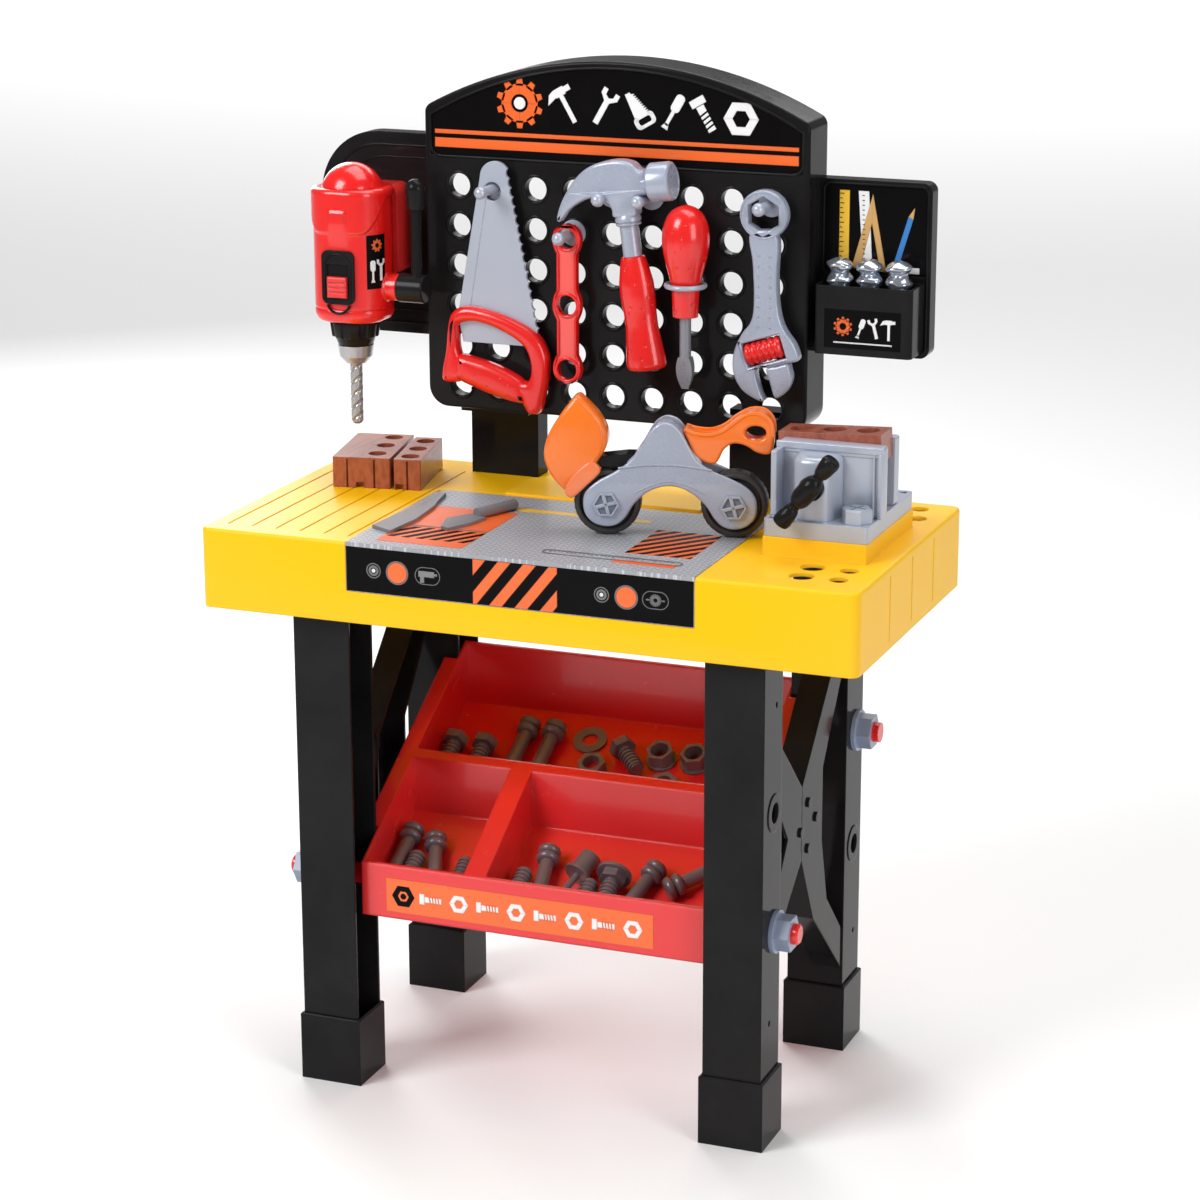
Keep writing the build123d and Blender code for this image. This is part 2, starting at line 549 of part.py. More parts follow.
turned_part("drill_chuck", [(0, CHUCK_LOW), (15, CHUCK_LOW), (16, CHUCK_LOW + 4), (19, CHUCK_LOW + 7),
                            (22, CHUCK_TOP), (SHAFT_R, CHUCK_TOP), (SHAFT_R, CHUCK_LOW + 4),
                            (0, CHUCK_LOW + 4)])
turned_part("chuck_collar", [(5.2, COLLAR_LOW), (9, COLLAR_LOW), (14, COLLAR_LOW + 6),
                             (15.5, CHUCK_LOW - 0.1), (5.2, CHUCK_LOW - 0.1)])
turned_part("drill_bit", [(0, BIT_LOW), (4, BIT_LOW), (5.1, BIT_LOW + 3), (5.1, CHUCK_LOW - 0.1),
                          (0, CHUCK_LOW - 0.1)])

# ---- vise ---------------------------------------------------------------------------
VISE_X, VISE_Y = (178.0, 265.0), (-62.0, 67.0)
VISE_Z = (TOP_Z + PAD_H, 515.0)
JAW_X, JAW_TOP = (180.0, 268.0), 573.0
FRONT_JAW_Y, REAR_JAW_Y = (-31.0, -18.0), (14.0, 26.0)
SCREW_X, SCREW_Z, SCREW_R = 218.0, 543.0, 6.0
VISE_BOLTS = [(252.0, -47.0), (191.0, 54.0)]

with BuildPart() as vise_base:
    slab(VISE_X, VISE_Y, VISE_Z)
    fillet(vise_base.edges().filter_by(Axis.Z), 4)
    for centre in ((184.5, -55.5), (258.5, 60.5)):
        pin(level(VISE_Z[1] - 6), centre, 3, 6, Mode.SUBTRACT)
    for centre in VISE_BOLTS:
        pin(level(VISE_Z[0]), centre, 6.2, 20, Mode.SUBTRACT)
save(vise_base.part, "vise_base")

with BuildPart() as vise_front_jaw:
    slab(JAW_X, FRONT_JAW_Y, (VISE_Z[1], JAW_TOP))
    # stout boss around the screw and a flange on the left
    slab((SCREW_X - 19, SCREW_X + 15), (-58, FRONT_JAW_Y[0]), (VISE_Z[1], JAW_TOP - 6))
    fillet(vise_front_jaw.edges().filter_by(Axis.Z).group_by(Axis.Y)[0], 9)
    slab((JAW_X[0], JAW_X[0] + 5), (-50, FRONT_JAW_Y[0]), (VISE_Z[1], JAW_TOP - 6))
    slab((JAW_X[0] - 1.5, JAW_X[1] + 1), (FRONT_JAW_Y[0] - 2, FRONT_JAW_Y[1]),
         (JAW_TOP - 6, JAW_TOP))
    pin(front(0), (SCREW_X, SCREW_Z), SCREW_R + FIT, 80, Mode.SUBTRACT)
save(vise_front_jaw.part, "vise_front_jaw")

with BuildPart() as vise_rear_jaw:
    slab((JAW_X[0] + 2, JAW_X[1] - 4), REAR_JAW_Y, (VISE_Z[1] + GAP, JAW_TOP - 1.5))
    fillet(vise_rear_jaw.edges().filter_by(Axis.Y), 2)
    pin(front(60), (SCREW_X, SCREW_Z), SCREW_R + FIT, 80, Mode.SUBTRACT)
save(vise_rear_jaw.part, "vise_rear_jaw")

HANDLE_Y, HANDLE_LEN, HANDLE_TILT = -74.0, 71.0, 38.0
with BuildPart() as vise_screw:
    pin(front(52), (SCREW_X, SCREW_Z), SCREW_R, 52 - HANDLE_Y - 4)
    pin(front(-58 - GAP), (SCREW_X, SCREW_Z), 10, 6)
save(vise_screw.part, "vise_screw")

with BuildPart() as vise_handle:
    # bar with knobs along it, turned about its own axis
    knobs = [(0, 0), (7.5, 0), (8.5, 4), (7, 14), (4.5, 18), (4.5, 22), (8, 26), (8.5, 31),
             (8.5, 40), (8, 45), (4.5, 49), (4.5, 53), (7, 57), (8.5, 67), (7.5, 71), (0, 71)]
    with BuildSketch(Plane.XZ):
        outline(*[(radius, along - HANDLE_LEN / 2) for radius, along in knobs])
    revolve(axis=Axis.Z)
tilted = Pos(SCREW_X, HANDLE_Y, SCREW_Z) * Rot(0, HANDLE_TILT, 0) * vise_handle.part
with BuildPart() as vise_tee:
    add(tilted)
    pin(front(-40), (SCREW_X, SCREW_Z), SCREW_R, 40, Mode.SUBTRACT)
save(vise_tee.part, "vise_handle")

with BuildPart() as vise_bolts:
    for centre in VISE_BOLTS:
        hexagon(level(VISE_Z[1]), centre, 22, 12)
    chamfer(vise_bolts.edges().group_by(Axis.Z)[-1], 1)
    for centre in VISE_BOLTS:
        pin(level(VISE_Z[0]), centre, 6, VISE_Z[1] - VISE_Z[0])
save(vise_bolts.part, "vise_bolts")

# block held between the jaws, above the screw, with its right end a little higher
CLAMPED_LEN, CLAMPED_H, CLAMPED_TILT, CLAMPED_AT = 86.0, 28.0, 2.5, (219.0, 564.5)
with BuildPart() as clamped_block:
    slab((-CLAMPED_LEN / 2, CLAMPED_LEN / 2), (FRONT_JAW_Y[1] + GAP, REAR_JAW_Y[0] - GAP),
         (-CLAMPED_H / 2, CLAMPED_H / 2))
    chamfer(clamped_block.edges().filter_by(Axis.Y).group_by(Axis.Z)[0], 5)
    for x in (-28, 0, 28):
        pin(level(-CLAMPED_H / 2), (x, -2), 9.5, CLAMPED_H, Mode.SUBTRACT)
clamped = Pos(CLAMPED_AT[0], 0, CLAMPED_AT[1]) * Rot(0, -CLAMPED_TILT, 0) * clamped_block.part
save(clamped, "clamped_block")

# ---- building blocks on the worktop -------------------------------------------------
BLOCK_Z, BLOCK_H, BLOCK_TURN = TOP_Z, 27.0, 11.5


def block(width, depth, holes, hole_r, slots, notch_x):
    """Block with a row of holes through it, lying flat, with upright slots in its front."""
    with BuildPart() as piece:
        slab((0, width), (0, depth), (0, BLOCK_H))
        chamfer(piece.edges().filter_by(Axis.Z), 0.8)
        for x, y in holes:
            pin(Plane.XY, (x, y), hole_r, BLOCK_H, Mode.SUBTRACT)
        for x in slots:
            slab((x - 0.8, x + 0.8), (-1, 2.5), (0, BLOCK_H - 1.5), Mode.SUBTRACT)
        slab((notch_x - 3.5, notch_x + 3.5), (-1, 5), (0, 5), Mode.SUBTRACT)
    return piece.part


big_block = block(51, 92, [(36, 18 + 31 * i) for i in range(3)], 8, (13, 37), 24)
narrow_block = block(24, 86, [(12, 14 + 29 * i) for i in range(3)], 8, (12,), 5)
blocks = [Pos(-242, 17, BLOCK_Z) * Rot(0, 0, BLOCK_TURN) * big_block,
          Pos(-188, 26, BLOCK_Z) * Rot(0, 0, BLOCK_TURN) * narrow_block]
save(Compound(children=blocks), "bench_blocks")

# ---- pegs and hanging tools ---------------------------------------------------------
PEG_ROD, PEG_BALL, PEG_END = 4.0, 5.6, 31.0
TOP_ROW = HOLE_MID_Z + 2.5 * HOLE_PITCH_Z
PEGS = [(-105.0, TOP_ROW), (0.0, TOP_ROW), (35.0, TOP_ROW), (140.0, TOP_ROW),
        (-35.0, TOP_ROW - HOLE_PITCH_Z)]
RING_X, RING_Y, RING_Z, RING_R = 73.0, 43.5, 678.0, 13.6

with BuildPart() as tool_pegs:
    for centre in PEGS:
        pin(front(BOARD_Y[0]), centre, 11, 2.7)
        pin(front(BACK_Y + 3), centre, HOLE_R - 0.2, 6)
        pin(front(BOARD_Y[0]), centre, PEG_ROD, BOARD_Y[0] - PEG_END)
        with Locations((centre[0], PEG_END, centre[1])):
            Sphere(PEG_BALL)
save(tool_pegs.part, "tool_pegs")

with BuildPart() as driver_ring:
    with Locations((RING_X, RING_Y, RING_Z)):
        Torus(RING_R + 2.2, 2.2)
    pin(front(BOARD_Y[0]), (70, RING_Z - 0.3), 3, BOARD_Y[0] - RING_Y - RING_R - 2)
    pin(front(BOARD_Y[0]), (70, RING_Z - 0.3), 11, 2.2)
    pin(front(BACK_Y + 3), (70, RING_Z - 0.3), HOLE_R - 0.2, 6)
save(driver_ring.part, "driver_ring")

# saw: toothed blade in a closed grip
SAW_X = PEGS[0][0]
SAW_HOLE = (SAW_X, TOP_ROW + PEG_BALL + GAP - 8)
TOOTH_TOP, TOOTH_LOW, SAW_TEETH = (-91.0, 764.0), (-62.0, 622.0), 18
with BuildPart() as saw_blade:
    with BuildSketch(front(58)):
        with BuildLine():
            Polyline(TOOTH_LOW, (-70, 608), (-132, 608), (-138, 636), (-116, 757))
            ThreePointArc((-116, 757), (-104, 770), TOOTH_TOP)
            for i in range(SAW_TEETH):
                steps = [(i + part) / SAW_TEETH for part in (0, 0.6, 1)]
                ends = [(TOOTH_TOP[0] + (TOOTH_LOW[0] - TOOTH_TOP[0]) * step,
                         TOOTH_TOP[1] + (TOOTH_LOW[1] - TOOTH_TOP[1]) * step) for step in steps]
                ThreePointArc(ends[0], (ends[1][0] - 2.2, ends[1][1]), ends[2])
        make_face()
        with Locations(SAW_HOLE):
            Circle(8, mode=Mode.SUBTRACT)
    extrude(amount=3)
    # the grip hides the lower edge of the blade
    slab((-140, -50), (50, 60), (600, 614), Mode.SUBTRACT)
save(saw_blade.part, "saw_blade")

GRIP = [(-139, 640), (-116, 645), (-89, 638), (-64, 626), (-54, 607), (-56, 584), (-64, 558),
        (-75, 559), (-106, 568), (-137, 578), (-151, 578), (-152, 590), (-146, 620)]
GRIP_HOLE = [(-133, 622), (-121, 624), (-92, 618), (-72, 604), (-71, 588), (-88, 590),
             (-112, 599), (-134, 601)]
with BuildPart() as saw_handle:
    with BuildSketch(front(66 - 2)):
        with BuildLine():
            Spline(*GRIP, periodic=True)
        make_face()
        with BuildLine():
            Spline(*GRIP_HOLE, periodic=True)
        make_face(mode=Mode.SUBTRACT)
    extrude(amount=18)
    slab((-148, -55), (54.8, 58.2), (613.8, 660), Mode.SUBTRACT)
save(saw_handle.part, "saw_handle")

# hammer, leaning a little, on two pegs
HAMMER = Pos(18, 45, 757) * Rot(0, -7.8, 0)
CLAW = [(10, 19), (-4, 21), (-20, 17), (-38, 4), (-53, -13), (-62, -24), (-54, -22), (-41, -10),
        (-29, -2.8), (-14.5, -3), (-10, -8), (-9.5, -26), (9.5, -26), (10, -7.4), (22, -7.4),
        (22, 11), (14, 12)]
with BuildPart() as hammer_local:
    with BuildSketch(Plane.XZ.offset(-9)):
        outline(*CLAW)
    extrude(amount=18)
    pin(Plane.YZ.offset(22), (0, 1), 16.4, 22)
    pin(Plane.YZ.offset(16), (0, 1), 9, 7)
    chamfer(hammer_local.faces().sort_by(Axis.X)[-1].edges(), 2)
    pin(Plane.XY.offset(-58), (0, 0), 8, 34)
    pin(Plane.XY.offset(-29), (0, 0), 11, 4)
save(HAMMER * hammer_local.part, "hammer_head")

with BuildPart() as grip_local:
    sections = ((-58, 9.5), (-84, 15), (-110, 14), (-150, 17.5), (-154, 15))
    for z, half in sections:
        with BuildSketch(Plane.XY.offset(z)):
            Ellipse(half, half * 0.8)
    loft()
save(HAMMER * grip_local.part, "hammer_grip")

# three-hole spanner hanging on a peg
LINK_X, LINK_Y = PEGS[4][0], (47.0, 55.0)
LINK_HOLES = [PEGS[4][1] + PEG_BALL + GAP - 8.5, 653.0, 598.0]
with BuildPart() as link_spanner:
    with BuildSketch(front(LINK_Y[1])):
        with BuildLine():
            Polyline((LINK_X - 11, LINK_HOLES[0]), (LINK_X - 8.5, LINK_HOLES[0] - 27),
                     (LINK_X - 12, LINK_HOLES[1]), (LINK_X - 8.5, LINK_HOLES[1] - 27),
                     (LINK_X - 11, LINK_HOLES[2]), (LINK_X + 11, LINK_HOLES[2]),
                     (LINK_X + 8.5, LINK_HOLES[1] - 27), (LINK_X + 12, LINK_HOLES[1]),
                     (LINK_X + 8.5, LINK_HOLES[0] - 27), (LINK_X + 11, LINK_HOLES[0]), close=True)
        make_face()
        for z in LINK_HOLES:
            with Locations((LINK_X, z)):
                Circle(12.7)
        for z in LINK_HOLES:
            with Locations((LINK_X, z)):
                Circle(8.5, mode=Mode.SUBTRACT)
    extrude(amount=LINK_Y[1] - LINK_Y[0])
save(link_spanner.part, "link_spanner")

# screwdriver standing in the ring
DRIVER = Axis((RING_X, RING_Y, 0), (0, 0, 1))
with BuildPart() as screwdriver_handle:
    with BuildSketch(front(RING_Y)):
        with BuildLine():
            Polyline((RING_X, 745), (RING_X, 652), (RING_X + 10.4, 652), (RING_X + 11.8, 676))
            Spline((RING_X + 11.8, 676), (RING_X + 16, 694), (RING_X + 19.8, 716),
                   (RING_X + 14.5, 737), (RING_X, 745))
        make_face()
    revolve(axis=DRIVER)
save(screwdriver_handle.part, "screwdriver_handle")

with BuildPart() as screwdriver_blade:
    pin(level(618), (RING_X, RING_Y), 4.8, 34)
    for z, width, thick in ((618, 9.6, 9.6), (608, 14, 7), (591, 5, 2)):
        with BuildSketch(level(z)):
            with Locations((RING_X, RING_Y)):
                Rectangle(width, thick)
    loft()
save(screwdriver_blade.part, "screwdriver_blade")

# adjustable wrench: local plane with its x along the worm
WRENCH_Y = (46.0, 58.0)
WRENCH_MID = (WRENCH_Y[0] + WRENCH_Y[1]) / 2
TILT = 18.0
WORM_CENTRE = (140.0, 627.0)
WORM_R, WORM_LEN = 9.6, 32.0
tilt_x = (math.cos(math.radians(TILT)), 0, math.sin(math.radians(TILT)))
WORM_PLANE = Plane(origin=(WORM_CENTRE[0], WRENCH_Y[1], WORM_CENTRE[1]), x_dir=tilt_x,
                   z_dir=(0, -1, 0))
RING_CENTRE, HEX_AF = (138.5, TOP_ROW + PEG_BALL + GAP - 12.8), 25.6
THICK = WRENCH_Y[1] - WRENCH_Y[0]

with BuildPart() as wrench_body:
    prism(front(WRENCH_Y[1]), [(128, 726), (131.5, 668), (129, 650), (118, 636), (113, 619),
                               (115, 603), (125, 591), (140.5, 585), (134.5, 603), (133.3, 610.6),
                               (144.4, 613.2), (170, 621.5), (165, 635), (156, 648), (151.5, 662),
                               (149, 726)], THICK)
    pin(front(WRENCH_Y[1]), RING_CENTRE, 20.5, THICK)
    hexagon(front(WRENCH_Y[1] + 1), RING_CENTRE, HEX_AF, THICK + 2, Mode.SUBTRACT)
    prism(WORM_PLANE, [(-17, -10.2), (17, -10.2), (17, 10.2), (-17, 10.2)], THICK, Mode.SUBTRACT)
    # slot that guides the tongue of the moving jaw
    prism(WORM_PLANE.offset(THICK / 2 - 2.8), [(-10, -20), (26, -20), (26, -9), (-10, -9)], 5.6,
          Mode.SUBTRACT)
    # pivot stubs of the worm
    with BuildSketch(Plane(origin=(WORM_CENTRE[0], WRENCH_MID, WORM_CENTRE[1]), z_dir=tilt_x)) as rod:
        Circle(3)
    extrude(rod.sketch, amount=17.5, both=True)
save(wrench_body.part, "wrench_body")

with BuildPart() as wrench_jaw:
    prism(WORM_PLANE, [(-2.5, -40), (9, -37), (16.5, -28), (17, -14.9), (-2.5, -14.9)], THICK)
    prism(WORM_PLANE.offset(THICK / 2 - 2.5), [(-1, -15.5), (15, -15.5), (15, -10.8), (-1, -10.8)], 5)
save(wrench_jaw.part, "wrench_jaw")

with BuildPart() as wrench_worm:
    with BuildSketch(Plane(origin=(WORM_CENTRE[0], WRENCH_MID, WORM_CENTRE[1]), z_dir=tilt_x)) as rod:
        Circle(WORM_R)
        Circle(3 + FIT, mode=Mode.SUBTRACT)
    extrude(rod.sketch, amount=WORM_LEN / 2, both=True)
save(wrench_worm.part, "wrench_worm")

# ---- take-apart toy motorbike, turned a little on the mat ---------------------------
MAT_TOP = TOP_Z - MAT_SINK + MAT_T
BIKE = Pos(38, -43, MAT_TOP + GAP) * Rot(0, 0, 15)
WHEEL_R, WHEEL_W, WHEELBASE = 27.5, 20.0, 104.0
PLATE_V = (12.5, 16.0)             # side plates, either side of the wheels
AXLE_R = 4.0
LOBE_R = 19.0
HUBS = [(0.0, WHEEL_R), (WHEELBASE, WHEEL_R)]

for hub, name in zip(HUBS, ("bike_wheel_front", "bike_wheel_rear")):
    with BuildPart() as wheel:
        with BuildSketch(front(WHEEL_W / 2)):
            with Locations(hub):
                Circle(WHEEL_R)
                Circle(AXLE_R + FIT, mode=Mode.SUBTRACT)
        extrude(amount=WHEEL_W)
        outer_edges = wheel.edges().filter_by(GeomType.CIRCLE).group_by(SortBy.RADIUS)[-1]
        fillet(outer_edges, 4)
    save(BIKE * wheel.part, name)

with BuildPart() as bike_frame:
    for low in (-PLATE_V[1], PLATE_V[0]):
        with BuildSketch(front(low + PLATE_V[1] - PLATE_V[0])) as plate:
            with BuildLine():
                Spline((-14, 40), (8, 54), (26, 68), (37, 88), (48, 96), (59, 88), (70, 68), (90, 57),
                       (117, 41))
                Line((117, 41), (88, 20))
                Spline((88, 20), (72, 38), (52, 44), (32, 38), (16, 20))
                Line((16, 20), (-14, 40))
            make_face()
            with Locations(*HUBS):
                Circle(LOBE_R)
                Circle(AXLE_R, mode=Mode.SUBTRACT)
        extrude(plate.sketch, amount=PLATE_V[1] - PLATE_V[0])
    # core between the plates
    slab((30, 66), (-PLATE_V[0], PLATE_V[0]), (50, 74))
save(BIKE * bike_frame.part, "bike_frame")

with BuildPart() as bike_axles:
    for hub in HUBS:
        pin(front(PLATE_V[1]), hub, AXLE_R, 2 * PLATE_V[1])
        for y in (-PLATE_V[1], PLATE_V[1] + 3):
            hexagon(front(y), hub, 19, 3)
save(BIKE * bike_axles.part, "bike_axles")

with BuildPart() as bike_fork:
    prism(front(9), [(-16, 57), (26, 57), (26, 68), (16, 68), (-16, 64)], 18)
save(BIKE * bike_fork.part, "bike_fork")

with BuildPart() as bike_fairing:
    with BuildSketch(front(14)):
        with BuildLine():
            Spline((-28, 30), (-45, 44), (-52, 66), (-44, 92), (-24, 116))
            Spline((-24, 116), (-6, 100), (2, 84), (0, 71), (-10, 62))
            Polyline((-10, 62), (-8, 56), (-28, 40), (-28, 30))
        make_face()
    extrude(amount=28)
    slab((-46, 10), (-10.5, 10.5), (20, 58), Mode.SUBTRACT)
    slab((-17, 10), (-9.3, 9.3), (56, 69), Mode.SUBTRACT)
save(BIKE * bike_fairing.part, "bike_fairing")

with BuildPart() as bike_seat:
    with BuildSketch(front(11)):
        with BuildLine():
            Spline((62, 90), (78, 86), (95, 92), (112, 104), (128, 104), (136, 88), (132, 70))
            Spline((132, 70), (118, 73), (104, 78), (94, 72), (90, 60))
            Polyline((90, 60), (70, 70), (62, 90))
        make_face()
        with Locations((121, 88)):
            Ellipse(8.5, 6, mode=Mode.SUBTRACT)
    extrude(amount=22)
    slab((60, 92), (-16.2, -11), (40, 120), Mode.SUBTRACT)
save(BIKE * bike_seat.part, "bike_seat")

# ---- bits lying on the mat ----------------------------------------------------------
BIT_T = 3.0
with BuildPart() as mat_bits:
    with BuildSketch(level(MAT_TOP)):
        with BuildLine():
            Polyline((-149, -100), (-127, -112), (-123, -70), (-127, -24), (-131, -8), (-136, 20),
                     (-142, 19), (-139, -10), (-142, -28), close=True)
        make_face()
    extrude(amount=BIT_T)
    with BuildSketch(level(MAT_TOP)):
        with BuildLine():
            Polyline((-94, -84), (-86, -88), (-76, -66), (-71, -44), (-88, -38), (-101, -58),
                     close=True)
        make_face()
    extrude(amount=BIT_T)
    shaft_plane = Plane(origin=(-80, -42, MAT_TOP + 4.6), z_dir=(0.42, 1, 0))
    with BuildSketch(shaft_plane) as shaft:
        Circle(4.6)
    extrude(shaft.sketch, amount=44)
save(mat_bits.part, "mat_bits")

# ---- loose fasteners in the tray ----------------------------------------------------
SLOPE = math.degrees(math.atan(FLOOR_SLOPE))


def on_tray(piece, x, y, lift, spin):
    """Piece resting on the sloping tray floor, turned in the plane of the floor."""
    return Pos(x, y, tray_floor(y) + 3) * Rot(SLOPE, 0, 0) * Pos(0, 0, lift) * Rot(0, 0, spin) * piece


def lying(piece, x, y, radius, spin):
    """Piece lying on its side: its tail is at (x, y) and its head points up the slope."""
    return on_tray(Rot(-90, 0, 0) * piece, x, y, radius + 0.4, spin)


with BuildPart() as hex_bolt:
    pin(Plane.XY, (0, 0), 6, 28)
    for turn in range(6):
        pin(Plane.XY.offset(2 + 4 * turn), (0, 0), 7.2, 2)
    hexagon(Plane.XY.offset(27), (0, 0), 20, 8)

with BuildPart() as flange_bolt:
    pin(Plane.XY, (0, 0), 6, 30)
    for turn in range(6):
        pin(Plane.XY.offset(2 + 4 * turn), (0, 0), 7.2, 2)
    hexagon(Plane.XY.offset(28), (0, 0), 20, 8)
    pin(Plane.XY.offset(35), (0, 0), 15, 3)

with BuildPart() as ring_pin:
    pin(Plane.XY, (0, 0), 6, 44)
    with Locations((0, 0, 44), (0, 0, 52)):
        Torus(6, 4)
    pin(Plane.XY.offset(40), (0, 0), 6.5, 16)

with BuildPart() as socket_pin:
    pin(Plane.XY, (0, 0), 3, 22)
    pin(Plane.XY.offset(22), (0, 0), 12, 2.5)
    pin(Plane.XY.offset(24), (0, 0), 9.5, 20)

with BuildPart() as hex_nut:
    hexagon(Plane.XY, (0, 0), 22, 9)
    pin(Plane.XY, (0, 0), 7.5, 10, Mode.SUBTRACT)

with BuildPart() as flange_nut:
    pin(Plane.XY, (0, 0), 13.5, 2)
    hexagon(Plane.XY.offset(1), (0, 0), 21, 13)
    pin(Plane.XY, (0, 0), 8, 20, Mode.SUBTRACT)

with BuildPart() as washer:
    pin(Plane.XY, (0, 0), 15, 2)
    pin(Plane.XY, (0, 0), 7, 3, Mode.SUBTRACT)

HEX_R, PIN_R = 20 / math.sqrt(3), 10.0
loose_bolts = [lying(hex_bolt.part, x, y, HEX_R, spin) for x, y, spin in (
    (-140, 20, 0), (-112, 20, 0), (34, 40, 43),
    (-123.5, -70, 180), (-78, -70, 180), (-24, -72, 180), (36.5, -74, 180))]
loose_bolts.append(lying(flange_bolt.part, 56, -98, 15, 2))
save(Compound(children=loose_bolts), "loose_bolts")

loose_pins = [lying(ring_pin.part, x, y, PIN_R, spin) for x, y, spin in (
    (-80, 28, 0), (-55.5, 28, 0), (-139, -92, 0), (-98, -95, 20),
    (-4, -95, 8), (72, -96, -16), (143, -38, 132))]
loose_pins.append(lying(socket_pin.part, 16, -88, 12, -15))
save(Compound(children=loose_pins), "loose_pins")

loose_nuts = [on_tray(hex_nut.part, -11, 44, 0.4, 10), on_tray(hex_nut.part, 60, 33, 0.4, 25),
              on_tray(flange_nut.part, 47, 61, 0.4, 0), on_tray(flange_nut.part, 78, 62, 0.4, 15),
              on_tray(washer.part, -24, 72, 0.4, 0)]
save(Compound(children=loose_nuts), "loose_nuts")
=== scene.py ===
from collections import namedtuple
import json
import math

import bpy
import bmesh
from mathutils import Matrix, Vector


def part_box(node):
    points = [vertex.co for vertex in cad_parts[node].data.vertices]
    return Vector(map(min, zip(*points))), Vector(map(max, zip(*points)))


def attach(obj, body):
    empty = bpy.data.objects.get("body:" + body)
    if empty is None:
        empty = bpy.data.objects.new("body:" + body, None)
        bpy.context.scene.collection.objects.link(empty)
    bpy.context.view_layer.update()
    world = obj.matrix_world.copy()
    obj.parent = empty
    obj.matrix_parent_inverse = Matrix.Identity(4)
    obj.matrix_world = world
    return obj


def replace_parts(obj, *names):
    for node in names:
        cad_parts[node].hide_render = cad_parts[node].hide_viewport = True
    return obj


# Toy tool bench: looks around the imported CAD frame. Blender works in metres, and the shapes
# below are drawn in mm. +Z is up and the front is towards -Y.

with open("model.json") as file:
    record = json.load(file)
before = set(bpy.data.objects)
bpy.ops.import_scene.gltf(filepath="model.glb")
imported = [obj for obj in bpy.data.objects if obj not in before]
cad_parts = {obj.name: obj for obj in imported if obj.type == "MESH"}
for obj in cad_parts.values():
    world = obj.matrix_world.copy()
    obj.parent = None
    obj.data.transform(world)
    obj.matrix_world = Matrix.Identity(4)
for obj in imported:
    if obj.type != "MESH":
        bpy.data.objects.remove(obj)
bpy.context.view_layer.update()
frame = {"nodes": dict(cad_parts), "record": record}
NODES = frame["nodes"]
MM = 0.001
Box = namedtuple("Box", "left front low right back top")


def box_of(node):
    """Sides of a CAD node's box at rest, in mm."""
    return Box(*[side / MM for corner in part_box(node) for side in corner])


def metres(point):
    return Vector([side * MM for side in point])


def link_in(thing):
    bpy.context.scene.collection.objects.link(thing)
    return thing


# ---- camera, floor and light ----
CAMERA_AT = Vector((0.9934, -2.4774, 1.1776))
CAMERA_TURN, CAMERA_DOWN, CAMERA_ROLL = 21.54, 16.0, 0.14
LENS = 98.8


def make_camera():
    data = bpy.data.cameras.new("camera")
    data.lens = LENS
    data.clip_end = 50
    cam = link_in(bpy.data.objects.new("camera", data))
    cam.location = CAMERA_AT
    cam.rotation_euler = [math.radians(turn) for turn in (90 - CAMERA_DOWN, CAMERA_ROLL, CAMERA_TURN)]
    bpy.context.scene.camera = cam


def area_light(name, at, target, size, watts):
    data = bpy.data.lights.new(name, "AREA")
    data.shape = "RECTANGLE"
    data.size, data.size_y = size
    data.energy = watts
    light = link_in(bpy.data.objects.new(name, data))
    light.location = at
    light.rotation_mode = "QUATERNION"
    light.rotation_quaternion = (Vector(target) - Vector(at)).to_track_quat("-Z", "Y")


def make_studio():
    world = bpy.data.worlds.new("studio")
    bpy.context.scene.world = world
    world.use_nodes = True
    background = world.node_tree.nodes["Background"]
    background.inputs["Color"].default_value = (1.0, 1.0, 1.0, 1)
    background.inputs["Strength"].default_value = 0.22
    bpy.context.scene.view_settings.view_transform = "Standard"
    area_light("key", (-1.6, -2.4, 2.6), (0, 0, 0.5), (1.6, 1.6), 85)
    area_light("fill", (2.6, -1.6, 1.4), (0, 0, 0.5), (1.2, 2.0), 32)
    area_light("top", (0.2, 0.4, 2.8), (0, 0, 0.6), (2.4, 1.4), 38)
    area_light("rim", (-1.8, 2.0, 1.6), (0, 0, 0.5), (1.0, 1.8), 26)
    area_light("backdrop", (-3.0, 8.5, 5.0), (-3.0, 8.5, 0), (10, 7), 520)


def make_floor():
    mesh = bpy.data.meshes.new("floor")
    reach = 30.0
    corners = [(-reach, -reach, 0), (reach, -reach, 0), (reach, reach, 0), (-reach, reach, 0)]
    mesh.from_pydata(corners, [], [(0, 1, 2, 3)])
    mat = bpy.data.materials.new("floor_paper")
    mat.use_nodes = True
    shader = mat.node_tree.nodes["Principled BSDF"]
    shader.inputs["Base Color"].default_value = (0.93, 0.93, 0.93, 1)
    shader.inputs["Roughness"].default_value = 0.75
    mesh.materials.append(mat)
    link_in(bpy.data.objects.new("floor", mesh))


make_camera()
make_studio()
make_floor()

# ---- materials ----
SLOT_OF = {}


